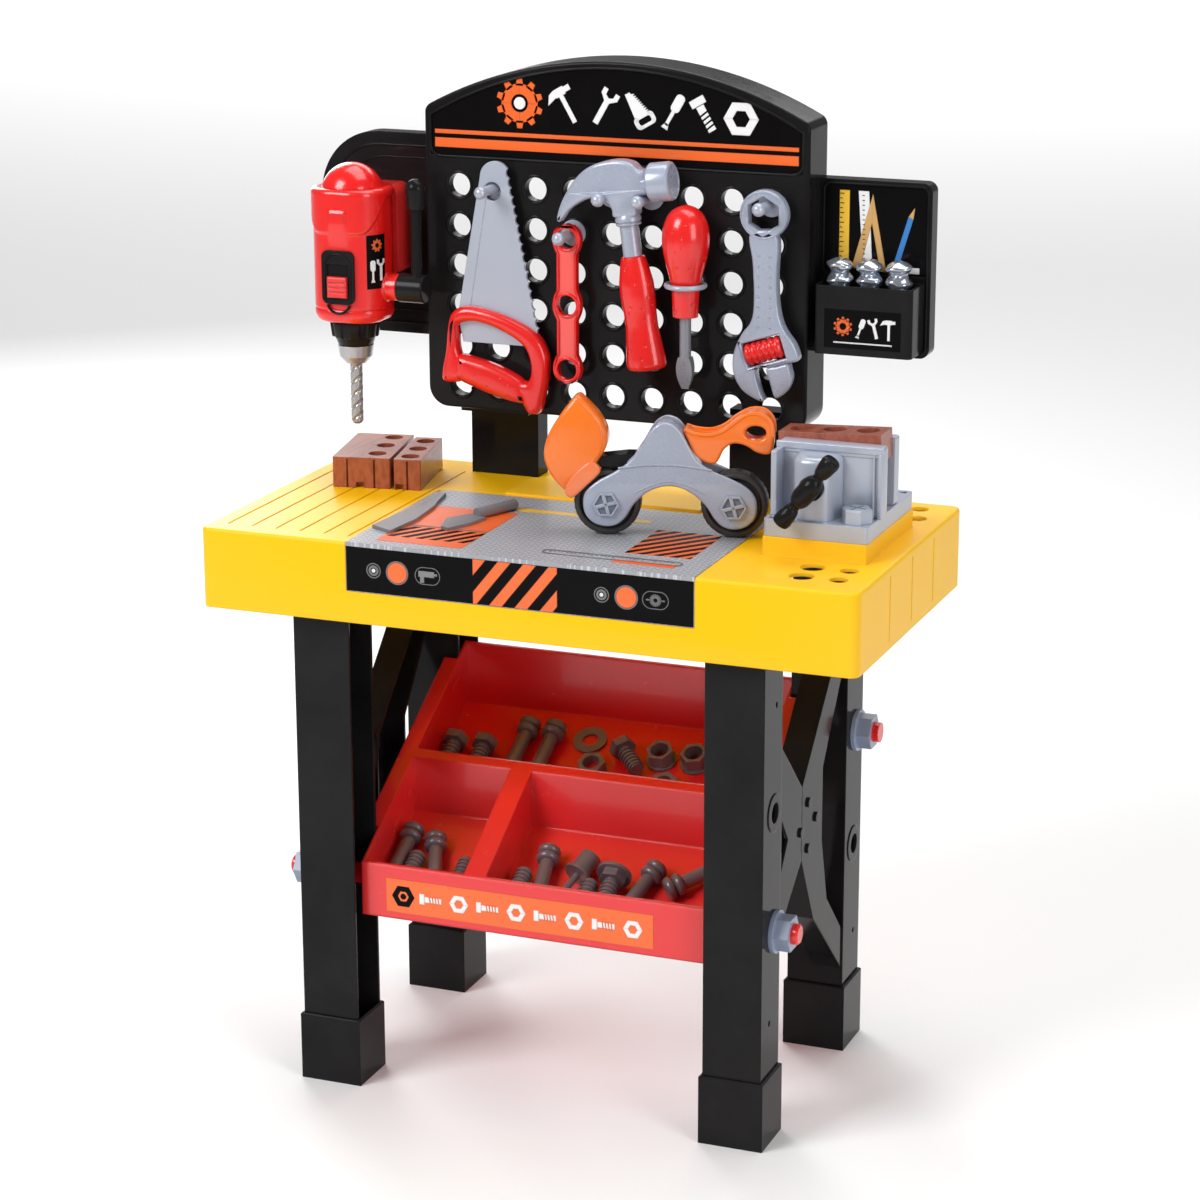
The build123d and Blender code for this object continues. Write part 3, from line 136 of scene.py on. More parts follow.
class Look:
    """Nodes of one material, with short ways to add and join them."""

    def __init__(self, mat):
        mat.use_nodes = True
        self.tree = mat.node_tree
        self.shader = self.tree.nodes["Principled BSDF"]
        self.place = self.node("ShaderNodeTexCoord").outputs["Object"]

    def node(self, kind, **inputs):
        """New node; each input is a number, a colour or an output to link from."""
        made = self.tree.nodes.new(kind)
        self.feed(made, **inputs)
        return made

    def feed(self, node, **inputs):
        for name, value in inputs.items():
            socket = node.inputs[name.replace("_", " ")]
            if isinstance(value, bpy.types.NodeSocket):
                self.tree.links.new(value, socket)
            else:
                socket.default_value = value

    def noise(self, vector=None, **inputs):
        return self.node("ShaderNodeTexNoise", Vector=vector or self.place, **inputs).outputs["Fac"]

    def mapped(self, value, **limits):
        return self.node("ShaderNodeMapRange", Value=value, **limits)

    def ramp(self, value, low, high):
        """Colour ramp between two positions."""
        made = self.node("ShaderNodeValToRGB", Fac=value)
        made.color_ramp.elements[0].position = low
        made.color_ramp.elements[1].position = high
        return made

    def mix(self, factor, first, second):
        """Blend of two colours, each a list of channels or an output."""
        made = self.tree.nodes.new("ShaderNodeMix")
        made.data_type = "RGBA"
        first, second = ((*side, 1) if isinstance(side, (list, tuple)) else side
                         for side in (first, second))
        self.feed(made, A=first, B=second, Factor=factor)
        return made.outputs["Result"]

    def maths(self, kind, *values):
        made = self.tree.nodes.new("ShaderNodeMath")
        made.operation = kind
        for socket, value in zip(made.inputs, values):
            if isinstance(value, bpy.types.NodeSocket):
                self.tree.links.new(value, socket)
            else:
                socket.default_value = value
        return made.outputs[0]

    def bump(self, height, normal, strength, distance):
        return self.node("ShaderNodeBump", Height=height, Normal=normal, Strength=strength,
                         Distance=distance * MM).outputs["Normal"]

    def carve(self, height, strength, distance):
        """One more bump over the skin that the material has already."""
        normal = self.shader.inputs["Normal"].links[0].from_socket
        self.feed(self.shader, Normal=self.bump(height, normal, strength, distance))


def plastic(name, slot, colour, rough=0.25, coat=0.4, metal=0.0, grain=0.0, wear=0.06, edge=1.2,
            flake=0.0, speckle=0.02, ior=1.5):
    """Moulded plastic: slight colour drift, uneven gloss, fine skin and softened edges.

    grain is the height of a fine moulded texture in mm, edge the radius of the softened
    edges in mm, wear how much paler the edges are, and flake adds a pearly sparkle."""
    mat = bpy.data.materials.new(name)
    look = Look(mat)
    look.feed(look.shader, Metallic=metal, Coat_Weight=coat, Coat_Roughness=0.06, IOR=ior)

    darker = [channel * (1 - 3 * speckle) for channel in colour]
    lighter = [min(1.0, channel * (1 + 2 * speckle) + speckle * 0.15) for channel in colour]
    tone = look.mix(look.noise(Scale=14.0, Detail=3.0, Roughness=0.55), darker, lighter)

    # paler edges where parts rub
    pointed = look.node("ShaderNodeNewGeometry").outputs["Pointiness"]
    rub = look.maths("MULTIPLY", look.ramp(pointed, 0.51, 0.60).outputs["Color"], wear)
    paler = [min(1.0, channel * 0.6 + 0.35) for channel in colour]
    look.feed(look.shader, Base_Color=look.mix(rub, tone, paler))

    # slightly uneven gloss
    marks = look.noise(Scale=55.0, Detail=6.0, Roughness=0.7)
    gloss = look.mapped(marks, From_Min=0.3, From_Max=0.75, To_Min=max(0.03, rough - 0.03),
                        To_Max=rough + 0.05)
    look.feed(look.shader, Roughness=gloss.outputs["Result"])

    # skin of the moulding: long waves, plus a fine grain where asked for
    soft_edge = look.node("ShaderNodeBevel", Radius=edge * MM)
    soft_edge.samples = 4
    normal = look.bump(look.noise(Scale=26.0, Detail=1.0), soft_edge.outputs["Normal"], 0.35, 0.25)
    if grain:
        normal = look.bump(look.noise(Scale=900.0, Detail=2.0), normal, 0.6, grain)
    look.feed(look.shader, Normal=normal)
    if flake:
        glint = look.mapped(look.noise(Scale=2600.0, Detail=1.0), From_Min=0.45, From_Max=0.8,
                            To_Min=metal, To_Max=min(1.0, metal + flake))
        look.feed(look.shader, Metallic=glint.outputs["Result"])
    SLOT_OF[mat.name] = slot
    return mat


def print_ink(name, colour, rough=0.3, coat=0.35, ior=1.5):
    return plastic("print_" + name, "printed_sheet", colour, rough, coat, wear=0.0, ior=ior)


YELLOW = plastic("yellow", "yellow_plastic", (1.0, 0.55, 0.0), rough=0.32, coat=0.0, grain=0.02,
                 edge=2.0, speckle=0.004, ior=1.25)
BLACK = plastic("black", "black_plastic", (0.0030, 0.0022, 0.0028), rough=0.12, coat=0.0, wear=0.008,
                edge=1.6, speckle=0.1, ior=1.2)
RED = plastic("red", "red_plastic", (0.80, 0.010, 0.008), rough=0.2, coat=0.35, edge=1.6,
              speckle=0.01)
GRIP_RED = plastic("grip_red", "red_plastic", (0.80, 0.011, 0.009), rough=0.22, coat=0.35, edge=1.6,
                   speckle=0.01)
PALE_RED = plastic("pale_red", "red_plastic", (0.90, 0.10, 0.085), rough=0.22, coat=0.5, edge=0.8)
TRAY_RED = plastic("tray_red", "red_tray", (0.78, 0.010, 0.012), rough=0.24, coat=0.25, edge=2.4,
                   speckle=0.01)
ORANGE = plastic("orange", "orange_plastic", (0.94, 0.19, 0.01), rough=0.24, coat=0.45, edge=1.6)
PALE_ORANGE = plastic("pale_orange", "orange_plastic", (0.92, 0.22, 0.07), rough=0.24, coat=0.45)
STEEL_GREY = plastic("steel_grey", "silver_grey_plastic", (0.43, 0.47, 0.56), rough=0.3, coat=0.3,
                     metal=0.15, flake=0.3)
TOOL_GREY = plastic("tool_grey", "silver_grey_plastic", (0.38, 0.42, 0.52), rough=0.26, coat=0.35,
                    metal=0.1, flake=0.25, edge=0.8)
HUB_DARK = plastic("hub_dark", "silver_grey_plastic", (0.16, 0.18, 0.23), rough=0.35, coat=0.2,
                   edge=0.4)
BIT_GREY = plastic("bit_grey", "silver_grey_plastic", (0.19, 0.185, 0.20), rough=0.3, coat=0.3,
                   metal=0.1, edge=0.8)
BLADE_GREY = plastic("blade_grey", "silver_grey_plastic", (0.25, 0.26, 0.30), rough=0.28, coat=0.3,
                     metal=0.2, edge=0.8)
NUT_GREY = plastic("nut_grey", "nut_grey", (0.26, 0.31, 0.43), rough=0.32, coat=0.25, edge=1.0)
FASTENER = plastic("fastener", "fastener_grey", (0.165, 0.120, 0.135), rough=0.3, coat=0.3,
                   metal=0.1, flake=0.2, edge=0.8)
SILVER = plastic("silver", "silver_plated", (0.42, 0.42, 0.44), rough=0.24, coat=0.2, metal=0.55,
                 edge=0.8)
CHROME = plastic("chrome", "silver_plated", (0.50, 0.54, 0.62), rough=0.18, coat=0.3, metal=0.8,
                 edge=0.5)
WHEEL = plastic("wheel", "wheel_black", (0.022, 0.019, 0.020), rough=0.42, coat=0.1, grain=0.05,
                edge=1.0)
PRINT_BLACK = print_ink("black", (0.0025, 0.002, 0.0025), rough=0.2, coat=0.0, ior=1.15)
PRINT_ORANGE = print_ink("orange", (0.89, 0.135, 0.012))
PRINT_WHITE = print_ink("white", (0.86, 0.86, 0.86), coat=0.3)
PRINT_YELLOW = print_ink("yellow", (0.95, 0.56, 0.03), coat=0.3)
PRINT_GREY = print_ink("grey", (0.20, 0.20, 0.21), coat=0.3)
PRINT_BLUE = print_ink("blue", (0.03, 0.20, 0.56), coat=0.3)
PRINT_TAN = print_ink("tan", (0.62, 0.36, 0.12), coat=0.3)


def stained_block():
    """Brown moulded block with a printed plank grain."""
    mat = plastic("block_brown", "block_brown", (0.40, 0.10, 0.045), rough=0.3, coat=0.3, edge=1.0)
    look = Look(mat)
    spin = look.node("ShaderNodeMapping", Vector=look.place, Rotation=(0, 0, math.radians(11.5)),
                     Scale=(1.0, 0.07, 0.5))
    grain = look.noise(spin.outputs["Vector"], Scale=260.0, Detail=3.0, Distortion=0.4)
    ramp = look.ramp(grain, 0.30, 0.60)
    ramp.color_ramp.elements[0].color = (0.26, 0.060, 0.032, 1)
    ramp.color_ramp.elements[1].color = (0.38, 0.100, 0.056, 1)
    look.feed(look.shader, Base_Color=ramp.outputs["Color"])
    look.carve(grain, 0.35, 0.25)
    return mat


def tread_plate():
    """Grey print of raised tread plate: crossed lozenges in two directions."""
    mat = plastic("tread_print", "printed_sheet", (0.42, 0.41, 0.40), rough=0.32, coat=0.35, wear=0.0)
    look = Look(mat)
    maths = look.maths
    pitch = 5.5 * MM

    def lozenges(turn, shift):
        """Mask of slim lozenges, set off by half a pitch in every other row."""
        spin = look.node("ShaderNodeMapping", Vector=look.place, Rotation=(0, 0, math.radians(turn)))
        split = look.node("ShaderNodeSeparateXYZ", Vector=spin.outputs["Vector"])
        across = maths("DIVIDE", split.outputs["X"], pitch)
        along = maths("DIVIDE", split.outputs["Y"], pitch)
        row = maths("FLOOR", across)
        odd = maths("MULTIPLY", maths("MODULO", maths("ABSOLUTE", row), 2.0), 0.5)
        u = maths("ABSOLUTE", maths("SUBTRACT", maths("FRACT", across), 0.5))
        v = maths("FRACT", maths("ADD", maths("ADD", along, odd), shift))
        v = maths("ABSOLUTE", maths("SUBTRACT", v, 0.5))
        edge = maths("ADD", maths("MULTIPLY", u, 5.4), maths("MULTIPLY", v, 2.3))
        return maths("LESS_THAN", edge, 0.86)

    both = maths("MAXIMUM", lozenges(22, 0.0), lozenges(112, 0.25))
    base = look.mix(look.noise(Scale=35.0, Detail=4.0), (0.30, 0.31, 0.34), (0.36, 0.37, 0.40))
    printed_on = look.mix(maths("MULTIPLY", both, 0.75), base, (0.62, 0.63, 0.66))
    look.feed(look.shader, Base_Color=printed_on)
    return mat


def dimples(mat):
    """Scatter of small pits over a moulded grip."""
    look = Look(mat)
    cells = look.node("ShaderNodeTexVoronoi", Vector=look.place, Scale=110.0)
    pit = look.mapped(cells.outputs["Distance"], From_Min=0.10, From_Max=0.20)
    pit.interpolation_type = "SMOOTHSTEP"
    look.carve(pit.outputs["Result"], 0.8, 0.6)


BLOCK = stained_block()
TREAD = tread_plate()
dimples(GRIP_RED)

SLOT_LOOK = {SLOT_OF[mat.name]: mat for mat in (
    YELLOW, BLACK, RED, TRAY_RED, ORANGE, STEEL_GREY, FASTENER, NUT_GREY, BLOCK, TREAD, SILVER, WHEEL)}
OWN_LOOK = {"screwdriver_handle": GRIP_RED, "mat_bits": BIT_GREY, "screwdriver_blade": BLADE_GREY}


def paint_nodes():
    """Give every CAD node the look of its record slot, or its own."""
    for part in frame["record"]["subparts"]:
        slots = NODES[part["node"]].data.materials
        slots.clear()
        slots.append(OWN_LOOK.get(part["node"], SLOT_LOOK[part["material_slot"]]))


paint_nodes()

# ---- pieces ----
SMOOTH = 180
NO_TURN = Matrix.Identity(4)


def piece_of(mesh, name, body, material, crease=None):
    """Mesh as a piece that rides on a body, smooth where it bends less than the crease."""
    if crease:
        mesh.polygons.foreach_set("use_smooth", [True] * len(mesh.polygons))
        mesh.set_sharp_from_angle(angle=math.radians(crease))
    mesh.materials.append(material)
    piece = link_in(bpy.data.objects.new(name, mesh))
    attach(piece, body)
    return piece


def grid_piece(grid, name, body, material, crease=None):
    bmesh.ops.recalc_face_normals(grid, faces=grid.faces)
    mesh = bpy.data.meshes.new(name)
    grid.to_mesh(mesh)
    grid.free()
    return piece_of(mesh, name, body, material, crease)


def close_round(grid, lower, upper):
    """Quads between two closed rows of vertices."""
    for i in range(len(lower)):
        j = (i + 1) % len(lower)
        grid.faces.new((lower[i], lower[j], upper[j], upper[i]))


# ---- flat outlines, as lists of (u, v) corners in mm ----
def box2(u0, v0, u1, v1):
    return [(u0, v0), (u1, v0), (u1, v1), (u0, v1)]


def oval(u, v, half_u, half_v, steps=40):
    return [(u + half_u * math.cos(math.tau * i / steps), v + half_v * math.sin(math.tau * i / steps))
            for i in range(steps)]


def disc(u, v, radius, steps=40):
    return oval(u, v, radius, radius, steps)


def arc(centre, radius, start, stop, steps=10):
    """Points along an arc, by angles in degrees."""
    angles = [math.radians(start + (stop - start) * i / steps) for i in range(steps + 1)]
    return [(centre[0] + radius * math.cos(a), centre[1] + radius * math.sin(a)) for a in angles]


def band(outer, inner):
    """Ring between two closed outlines with equally many corners, as quads."""
    ahead_out, ahead_in = outer[1:] + outer[:1], inner[1:] + inner[:1]
    return [list(quad) for quad in zip(outer, ahead_out, ahead_in, inner)]


def ring(u, v, outer, inner):
    return band(disc(u, v, outer), disc(u, v, inner))


def pill(u, v, half_u, half_v):
    """Closed outline with round ends."""
    points = []
    steps = 24
    for i in range(steps):
        angle = math.tau * (i + 0.5) / steps
        shift = math.copysign(half_u - half_v, math.cos(angle))
        points.append((u + shift + half_v * math.cos(angle), v + half_v * math.sin(angle)))
    return points


def rounded(u0, v0, u1, v1, radius):
    """Rectangle with rounded corners."""
    points = []
    for corner in range(4):
        centre = (u1 - radius if corner in (0, 3) else u0 + radius,
                  v1 - radius if corner < 2 else v0 + radius)
        points += arc(centre, radius, 90 * corner, 90 * (corner + 1), 6)
    return points


def bowed(half, shoulder, top, steps):
    """Inner points of a shallow arch between two shoulders, from right to left."""
    rise = top - shoulder
    radius = (half * half + rise * rise) / (2 * rise)
    across = [half - 2 * half * i / steps for i in range(1, steps)]
    return [(u, top - radius + math.sqrt(radius * radius - u * u)) for u in across]


def moved(shapes, at, scale=1.0, turn=0.0):
    """Shapes drawn around (0, 0), scaled, turned by degrees and put at a point."""
    c, s = math.cos(math.radians(turn)) * scale, math.sin(math.radians(turn)) * scale
    return [[(at[0] + u * c - v * s, at[1] + u * s + v * c) for u, v in shape] for shape in shapes]


def clipped(shape, u0, v0, u1, v1):
    """Convex shape cut to a rectangle, or an empty list when nothing is left."""
    for axis, limit, keep_above in ((0, u0, True), (0, u1, False), (1, v0, True), (1, v1, False)):
        kept = []
        for i, here in enumerate(shape):
            before = shape[i - 1]
            inside = (here[axis] >= limit) == keep_above or here[axis] == limit
            was_inside = (before[axis] >= limit) == keep_above or before[axis] == limit
            if inside != was_inside:
                t = (limit - before[axis]) / (here[axis] - before[axis])
                kept.append(tuple(before[k] + t * (here[k] - before[k]) for k in (0, 1)))
            if inside:
                kept.append(here)
        if len(kept) < 3:
            return []
        shape = kept
    return shape


def stripes(u0, v0, u1, v1, pitch, width, lean):
    """Slanted hazard stripes inside a rectangle; lean is the run in u over the height."""
    made = []
    start = u0 - lean - pitch
    while start < u1 + lean:
        bar = [(start, v0), (start + width, v0), (start + width + lean, v1), (start + lean, v1)]
        made.append(clipped(bar, u0, v0, u1, v1))
        start += pitch
    return [bar for bar in made if bar]


# ---- printed panels ----
# A sheet says how u and v lie in space.
PRINT_T = 0.2


def facing_front(y):
    """Sheet on a face towards -Y: u is x and v is z."""
    return lambda u, v, lift: (u, y - lift, v)


def facing_up(z):
    """Sheet on a level face: u is x and v is y."""
    return lambda u, v, lift: (u, v, z + lift)


def printed(name, sheet, shapes, material, layer=0):
    """One thin printed piece from flat shapes, on a layer above the sheet."""
    grid = bmesh.new()
    for shape in shapes:
        bottom, top = ([grid.verts.new(metres(sheet(u, v, level * PRINT_T))) for u, v in shape]
                       for level in (layer, layer + 1))
        grid.faces.new(top)
        grid.faces.new(bottom[::-1])
        close_round(grid, bottom, top)
    grid_piece(grid, name, "bench", material)


# generic pictograms, about 20 mm tall around (0, 0)
HAMMER_SIGN = [box2(-1.3, -10, 1.3, 5.5), box2(-3, 5.5, 3, 10), box2(3, 6.2, 6.5, 9.3),
               [(-3, 10), (-3, 6), (-9, 4.4), (-6, 9)]]
SPANNER_SIGN = [box2(-1.6, -9, 1.6, 4),
                [(-1.6, 4), (1.6, 4), (5, 7), (5, 10.4), (2.4, 10.4), (2.2, 7.4), (0, 6.2)],
                [(-1.6, 4), (0, 6.2), (-2.2, 7.4), (-2.4, 10.4), (-5, 10.4), (-5, 7)]]
DRIVER_SIGN = [rounded(-2.6, 0, 2.6, 10, 2.2), box2(-1.0, -8, 1.0, 0),
               [(-2.0, -10), (2.0, -10), (1.0, -7), (-1.0, -7)]]
SAW_SIGN = ([[(-4.6, -3), (3, -3), (-0.6, 10), (-3.4, 10)]]
            + band(rounded(-6, -10, 6, -3, 2.4), rounded(-3.6, -8.2, 3.6, -4.9, 1.2))
            + [moved([[(3, -3), (4.5, -2.35), (2.64, -1.7)]], (-0.36 * i, 1.3 * i))[0]
               for i in range(9)])
BOLT_SIGN = [box2(-4.6, 5.6, 4.6, 10), box2(-2.4, -10, 2.4, 5.2)]
BOLT_THREADS = [moved([[(-3.3, -8.4), (3.3, -7.4), (3.3, -6.4), (-3.3, -7.4)]], (0, 2.6 * i))[0]
                for i in range(4)]
NUT_SIGN = band(disc(0, 0, 9, 6), disc(0, 0, 4.4, 6))


def gear_sign(radius, teeth):
    """Gear wheel outline with a round bore."""
    shapes = ring(0, 0, radius * 0.78, radius * 0.36)
    tooth = [(-0.16, 0.7), (0.16, 0.7), (0.11, 1), (-0.11, 1)]
    for i in range(teeth):
        shapes += moved([tooth], (0, 0), radius, 360 * i / teeth)
    return shapes


def print_header():
    """Glossy arched panel with two orange stripes and a row of leaning tool signs."""
    sheet = facing_front(box_of("pegboard").front + 1.0)
    half, low, shoulder, top = 165.2, 771.6, 805.0, 849.2
    arch = [(half, low), (half, shoulder), *bowed(half, shoulder, top, 40), (-half, shoulder),
            (-half, low)]
    printed("header_panel", sheet, [arch], PRINT_BLACK)
    gear_at, bolt_at, lean = (-84, 818), (80, 816), 30
    orange = [box2(-162, 778, 162, 786), box2(-162, 789.5, 162, 793)]
    printed("header_stripes", sheet, orange + moved(gear_sign(21, 10), gear_at), PRINT_ORANGE, 1)
    white = []
    for sign, at, scale, turn in (
            (HAMMER_SIGN, (-42, 818), 1.6, lean), (SPANNER_SIGN, (-9, 817), 1.6, -lean),
            (SAW_SIGN, (23, 818), 1.6, lean), (DRIVER_SIGN, (53, 817), 1.6, -lean),
            (BOLT_SIGN, bolt_at, 1.5, lean), (NUT_SIGN, (112, 814), 1.7, 0),
            ([disc(0, 0, 5.2, 24)], gear_at, 1, 0)):
        white += moved(sign, at, scale, turn)
    printed("header_signs", sheet, white, PRINT_WHITE, 1)
    printed("header_sign_threads", sheet, moved(BOLT_THREADS, bolt_at, 1.5, lean), PRINT_BLACK, 2)


def print_bin():
    sheet = facing_front(box_of("tool_bin").front)
    printed("bin_label", sheet, [box2(188, 632, 253, 664)], PRINT_BLACK)
    printed("bin_label_gear", sheet, moved(gear_sign(8, 10), (204, 650)), PRINT_ORANGE, 1)
    white = moved(DRIVER_SIGN, (219, 649), 0.85, -20) + moved(SPANNER_SIGN, (231, 649), 0.85, 15)
    white += moved(HAMMER_SIGN, (243, 649), 0.85)
    printed("bin_label_signs", sheet, white + [box2(196, 636, 246, 637.2)], PRINT_WHITE, 1)


def print_tray():
    sheet = facing_front(box_of("tray").front)
    printed("tray_label", sheet, [box2(-133, 158, 108, 188)], PRINT_ORANGE)
    nut = moved(NUT_SIGN, (-117, 173), 1.15) + [disc(-117, 173, 2.6, 24)]
    printed("tray_label_nut", sheet, nut, PRINT_BLACK, 1)
    white, threads = [], []
    for i in range(8):
        at = (-92 + 26 * i, 173)
        if i % 2:
            white += moved(NUT_SIGN, at, 0.95)
        else:
            white += moved(BOLT_SIGN, at, 1.0, 90)
            threads += moved(BOLT_THREADS, at, 1.0, 90)
    printed("tray_label_signs", sheet, white, PRINT_WHITE, 1)
    printed("tray_label_threads", sheet, threads, PRINT_ORANGE, 2)


def print_wing():
    """Rulers, a set square and a pencil on the right wing."""
    sheet = facing_front(box_of("wing_right").front + 1.0)
    printed("wing_panel", sheet, [box2(175.8, 688.3, 262.7, 760.7)], PRINT_BLACK)
    printed("wing_ruler", sheet, [box2(188, 690, 196.5, 756)], PRINT_YELLOW, 1)
    white = [[(209, 690), (217, 690), (213, 756), (204, 756)], box2(243, 690, 257, 695)]
    printed("wing_scale", sheet, white, PRINT_WHITE, 1)
    square = band([(199, 692), (229, 690), (216.5, 754)], [(207.5, 696.5), (222.5, 696), (216, 730)])
    printed("wing_square", sheet, square, PRINT_TAN, 2)
    pencil = [(234.2, 695), (238.6, 693.3), (251, 735), (246.8, 736.8)]
    printed("wing_pencil", sheet, [pencil], PRINT_BLUE, 1)
    tips = [[pencil[3], pencil[2], (252.4, 745)], [*pencil[:2], (237.8, 690.6), (233.4, 692.2)]]
    printed("wing_pencil_tip", sheet, tips, PRINT_TAN, 1)
    ticks = [box2(188.4, 693 + 4 * i, 190.6 + 1.4 * (i % 2), 693.6 + 4 * i) for i in range(16)]
    ticks += [box2(207.4 + 0.1 * i, 752 - 4 * i, 209.4 + 0.1 * i, 752.6 - 4 * i) for i in range(14)]
    lead = [(252.1, 743.6), (252.5, 743.4), (252.7, 746)]
    printed("wing_ticks", sheet, ticks + [lead], PRINT_BLACK, 3)


def print_mat():
    """Colour blocks, hazard stripes and a ruler on the mat's top."""
    sheet = facing_up(box_of("printed_mat").top)
    orange = [box2(-130, -134, -54, -13.5), box2(73.5, -128.6, 127, -119), box2(74, -98, 130, -22.5)]
    printed("mat_orange", sheet, orange, PRINT_ORANGE)
    black = stripes(-130, -118, -54, -84, 12.5, 6.0, 22) + stripes(74, -98, 130, -22.5, 14, 6.5, 60)
    printed("mat_black", sheet, black, PRINT_BLACK, 1)
    grey = [box2(-130, -81.2, -54, -78.8), *band(pill(70, -117, 60, 6), pill(70, -117, 58.8, 4.8))]
    grey += [box2(16 + 3.6 * i, -112.4, 16.7 + 3.6 * i, -115.2 - (2.4 if i % 5 == 0 else 0))
             for i in range(30)]
    printed("mat_ruler", sheet, grey, PRINT_GREY, 2)
    printed("mat_yellow", sheet, [box2(-60, -5, 60, 4)], PRINT_YELLOW)


def print_strip():
    """Control panel print down the front of the mat, with a drill sign and a blade sign."""
    sheet = facing_front(box_of("printed_mat").front)
    mid = 463.5
    printed("strip_panel", sheet, [box2(-150.6, 444.6, 150.6, 482)], PRINT_BLACK)
    rims = []
    for buttons, outer, inner in (((-105, 94), 9.9, 8.9), ((-126, 73), 6.4, 5.6),
                                  ((-126, 73), 4.4, 2.6)):
        for u in buttons:
            rims += ring(u, mid, outer, inner)
    for u in (-78, 118.6):
        rims += band(pill(u, mid, 11.2, 7.4), pill(u, mid, 10.6, 6.8))
    rims += [box2(-86, 462.5, -72, 467.5), box2(-72, 464, -69.5, 466), box2(-84.5, 457.6, -81, 462.5)]
    rims += moved(gear_sign(5.0, 16), (118.6, mid))
    rims += [box2(110.6, 462.9, 114, 464.1), box2(123.2, 462.9, 126.6, 464.1)]
    printed("strip_rims", sheet, rims, PRINT_GREY, 1)
    printed("strip_dots", sheet, [disc(u, mid, 1.7, 20) for u in (-126, 73)], PRINT_WHITE, 1)
    orange = [disc(-105, mid, 8.6), disc(94, mid, 8.6), *stripes(-38, 444.8, 35, 481.8, 22, 11, 30)]
    printed("strip_orange", sheet, orange, PRINT_ORANGE, 1)


for print_panel in (print_header, print_bin, print_tray, print_wing, print_mat, print_strip):
    print_panel()


# ---- moulded surfaces ----
def skin(name, body, rows, material, caps=True, crease=32):
    """Smooth skin over closed rows of (x, y, z) points in mm, with both ends closed."""
    grid = bmesh.new()
    made = [[grid.verts.new(metres(point)) for point in row] for row in rows]
    for lower, upper in zip(made, made[1:]):
        close_round(grid, lower, upper)
    if caps:
        grid.faces.new(made[0][::-1])
        grid.faces.new(made[-1])
    return grid_piece(grid, name, body, material, crease)


def turned_about(place, profile, along=2, steps=48, centre=(0, 0), wobble=None):
    """Rows turned about a local axis (0 x, 1 y, 2 z) from (radius, distance) points.

    wobble alters a radius, and place puts the rows where they belong."""
    rows = []
    for radius, distance in profile:
        row = []
        for i in range(steps):
            angle = math.tau * i / steps
            reach = wobble(radius, distance, angle) if wobble else radius
            spot = [centre[0] + reach * math.cos(angle), centre[1] + reach * math.sin(angle)]
            spot.insert(along, distance)
            row.append([side / MM for side in place @ metres(spot)])
        rows.append(row)
    return rows


def ramp01(value):
    """Smooth step from 0 to 1."""
    value = max(0.0, min(1.0, value))
    return value * value * (3 - 2 * value)


def curve_mesh(curve, loops, closed):
    """Mesh of bevelled lines through loops of (x, y, z) points in mm."""
    for loop in loops:
        line = curve.splines.new("POLY")
        line.points.add(len(loop) - 1)
        for spot, point in zip(line.points, loop):
            spot.co = (*metres(point), 1)
        line.use_cyclic_u = closed
    source = link_in(bpy.data.objects.new("path", curve))
    bpy.context.view_layer.update()
    shape = source.evaluated_get(bpy.context.evaluated_depsgraph_get())
    mesh = bpy.data.meshes.new_from_object(shape)
    bpy.data.objects.remove(source)
    return mesh


def bead(name, body, points, radius, material, closed=False, place=NO_TURN):
    """Raised moulding line: a round rod along points in mm."""
    curve = bpy.data.curves.new(name, "CURVE")
    curve.dimensions = "3D"
    curve.bevel_depth = radius * MM
    curve.bevel_resolution = 3
    curve.use_fill_caps = True
    spots = [[side / MM for side in place @ metres(point)] for point in points]
    piece_of(curve_mesh(curve, [spots], closed), name, body, material, SMOOTH)


# ---- pegboard and wings ----
HOLE_PITCH = (35.0, 34.5)
HOLE_GRID = (9, 6)
HOLES_MIDDLE = 660.25


def board_collars():
    """Rolled collar round every peg hole, drawn in at the back as the moulding is."""
    face = box_of("pegboard").front
    profile = [
        (10.0, face + 10), (10.0, face + 1), (10.25, face - 0.5), (11.0, face - 1.1),
        (12.1, face - 0.9), (12.9, face - 0.2), (13.1, face + 0.5), (12.2, face + 3.2),
        (12.2, face + 10)]
    steps = 28
    grid = bmesh.new()
    for column in range(HOLE_GRID[0]):
        for row in range(HOLE_GRID[1]):
            x = (column - (HOLE_GRID[0] - 1) / 2) * HOLE_PITCH[0]
            z = HOLES_MIDDLE + (row - (HOLE_GRID[1] - 1) / 2) * HOLE_PITCH[1]
            turns = [math.tau * i / steps for i in range(steps)]
            rows = [[grid.verts.new(metres((x + r * math.cos(a), y, z + r * math.sin(a))))
                     for r, y in profile] for a in turns]
            for first, second in zip(rows, rows[1:] + rows[:1]):
                close_round(grid, first, second)
    grid_piece(grid, "board_collars", "bench", BLACK, 50)


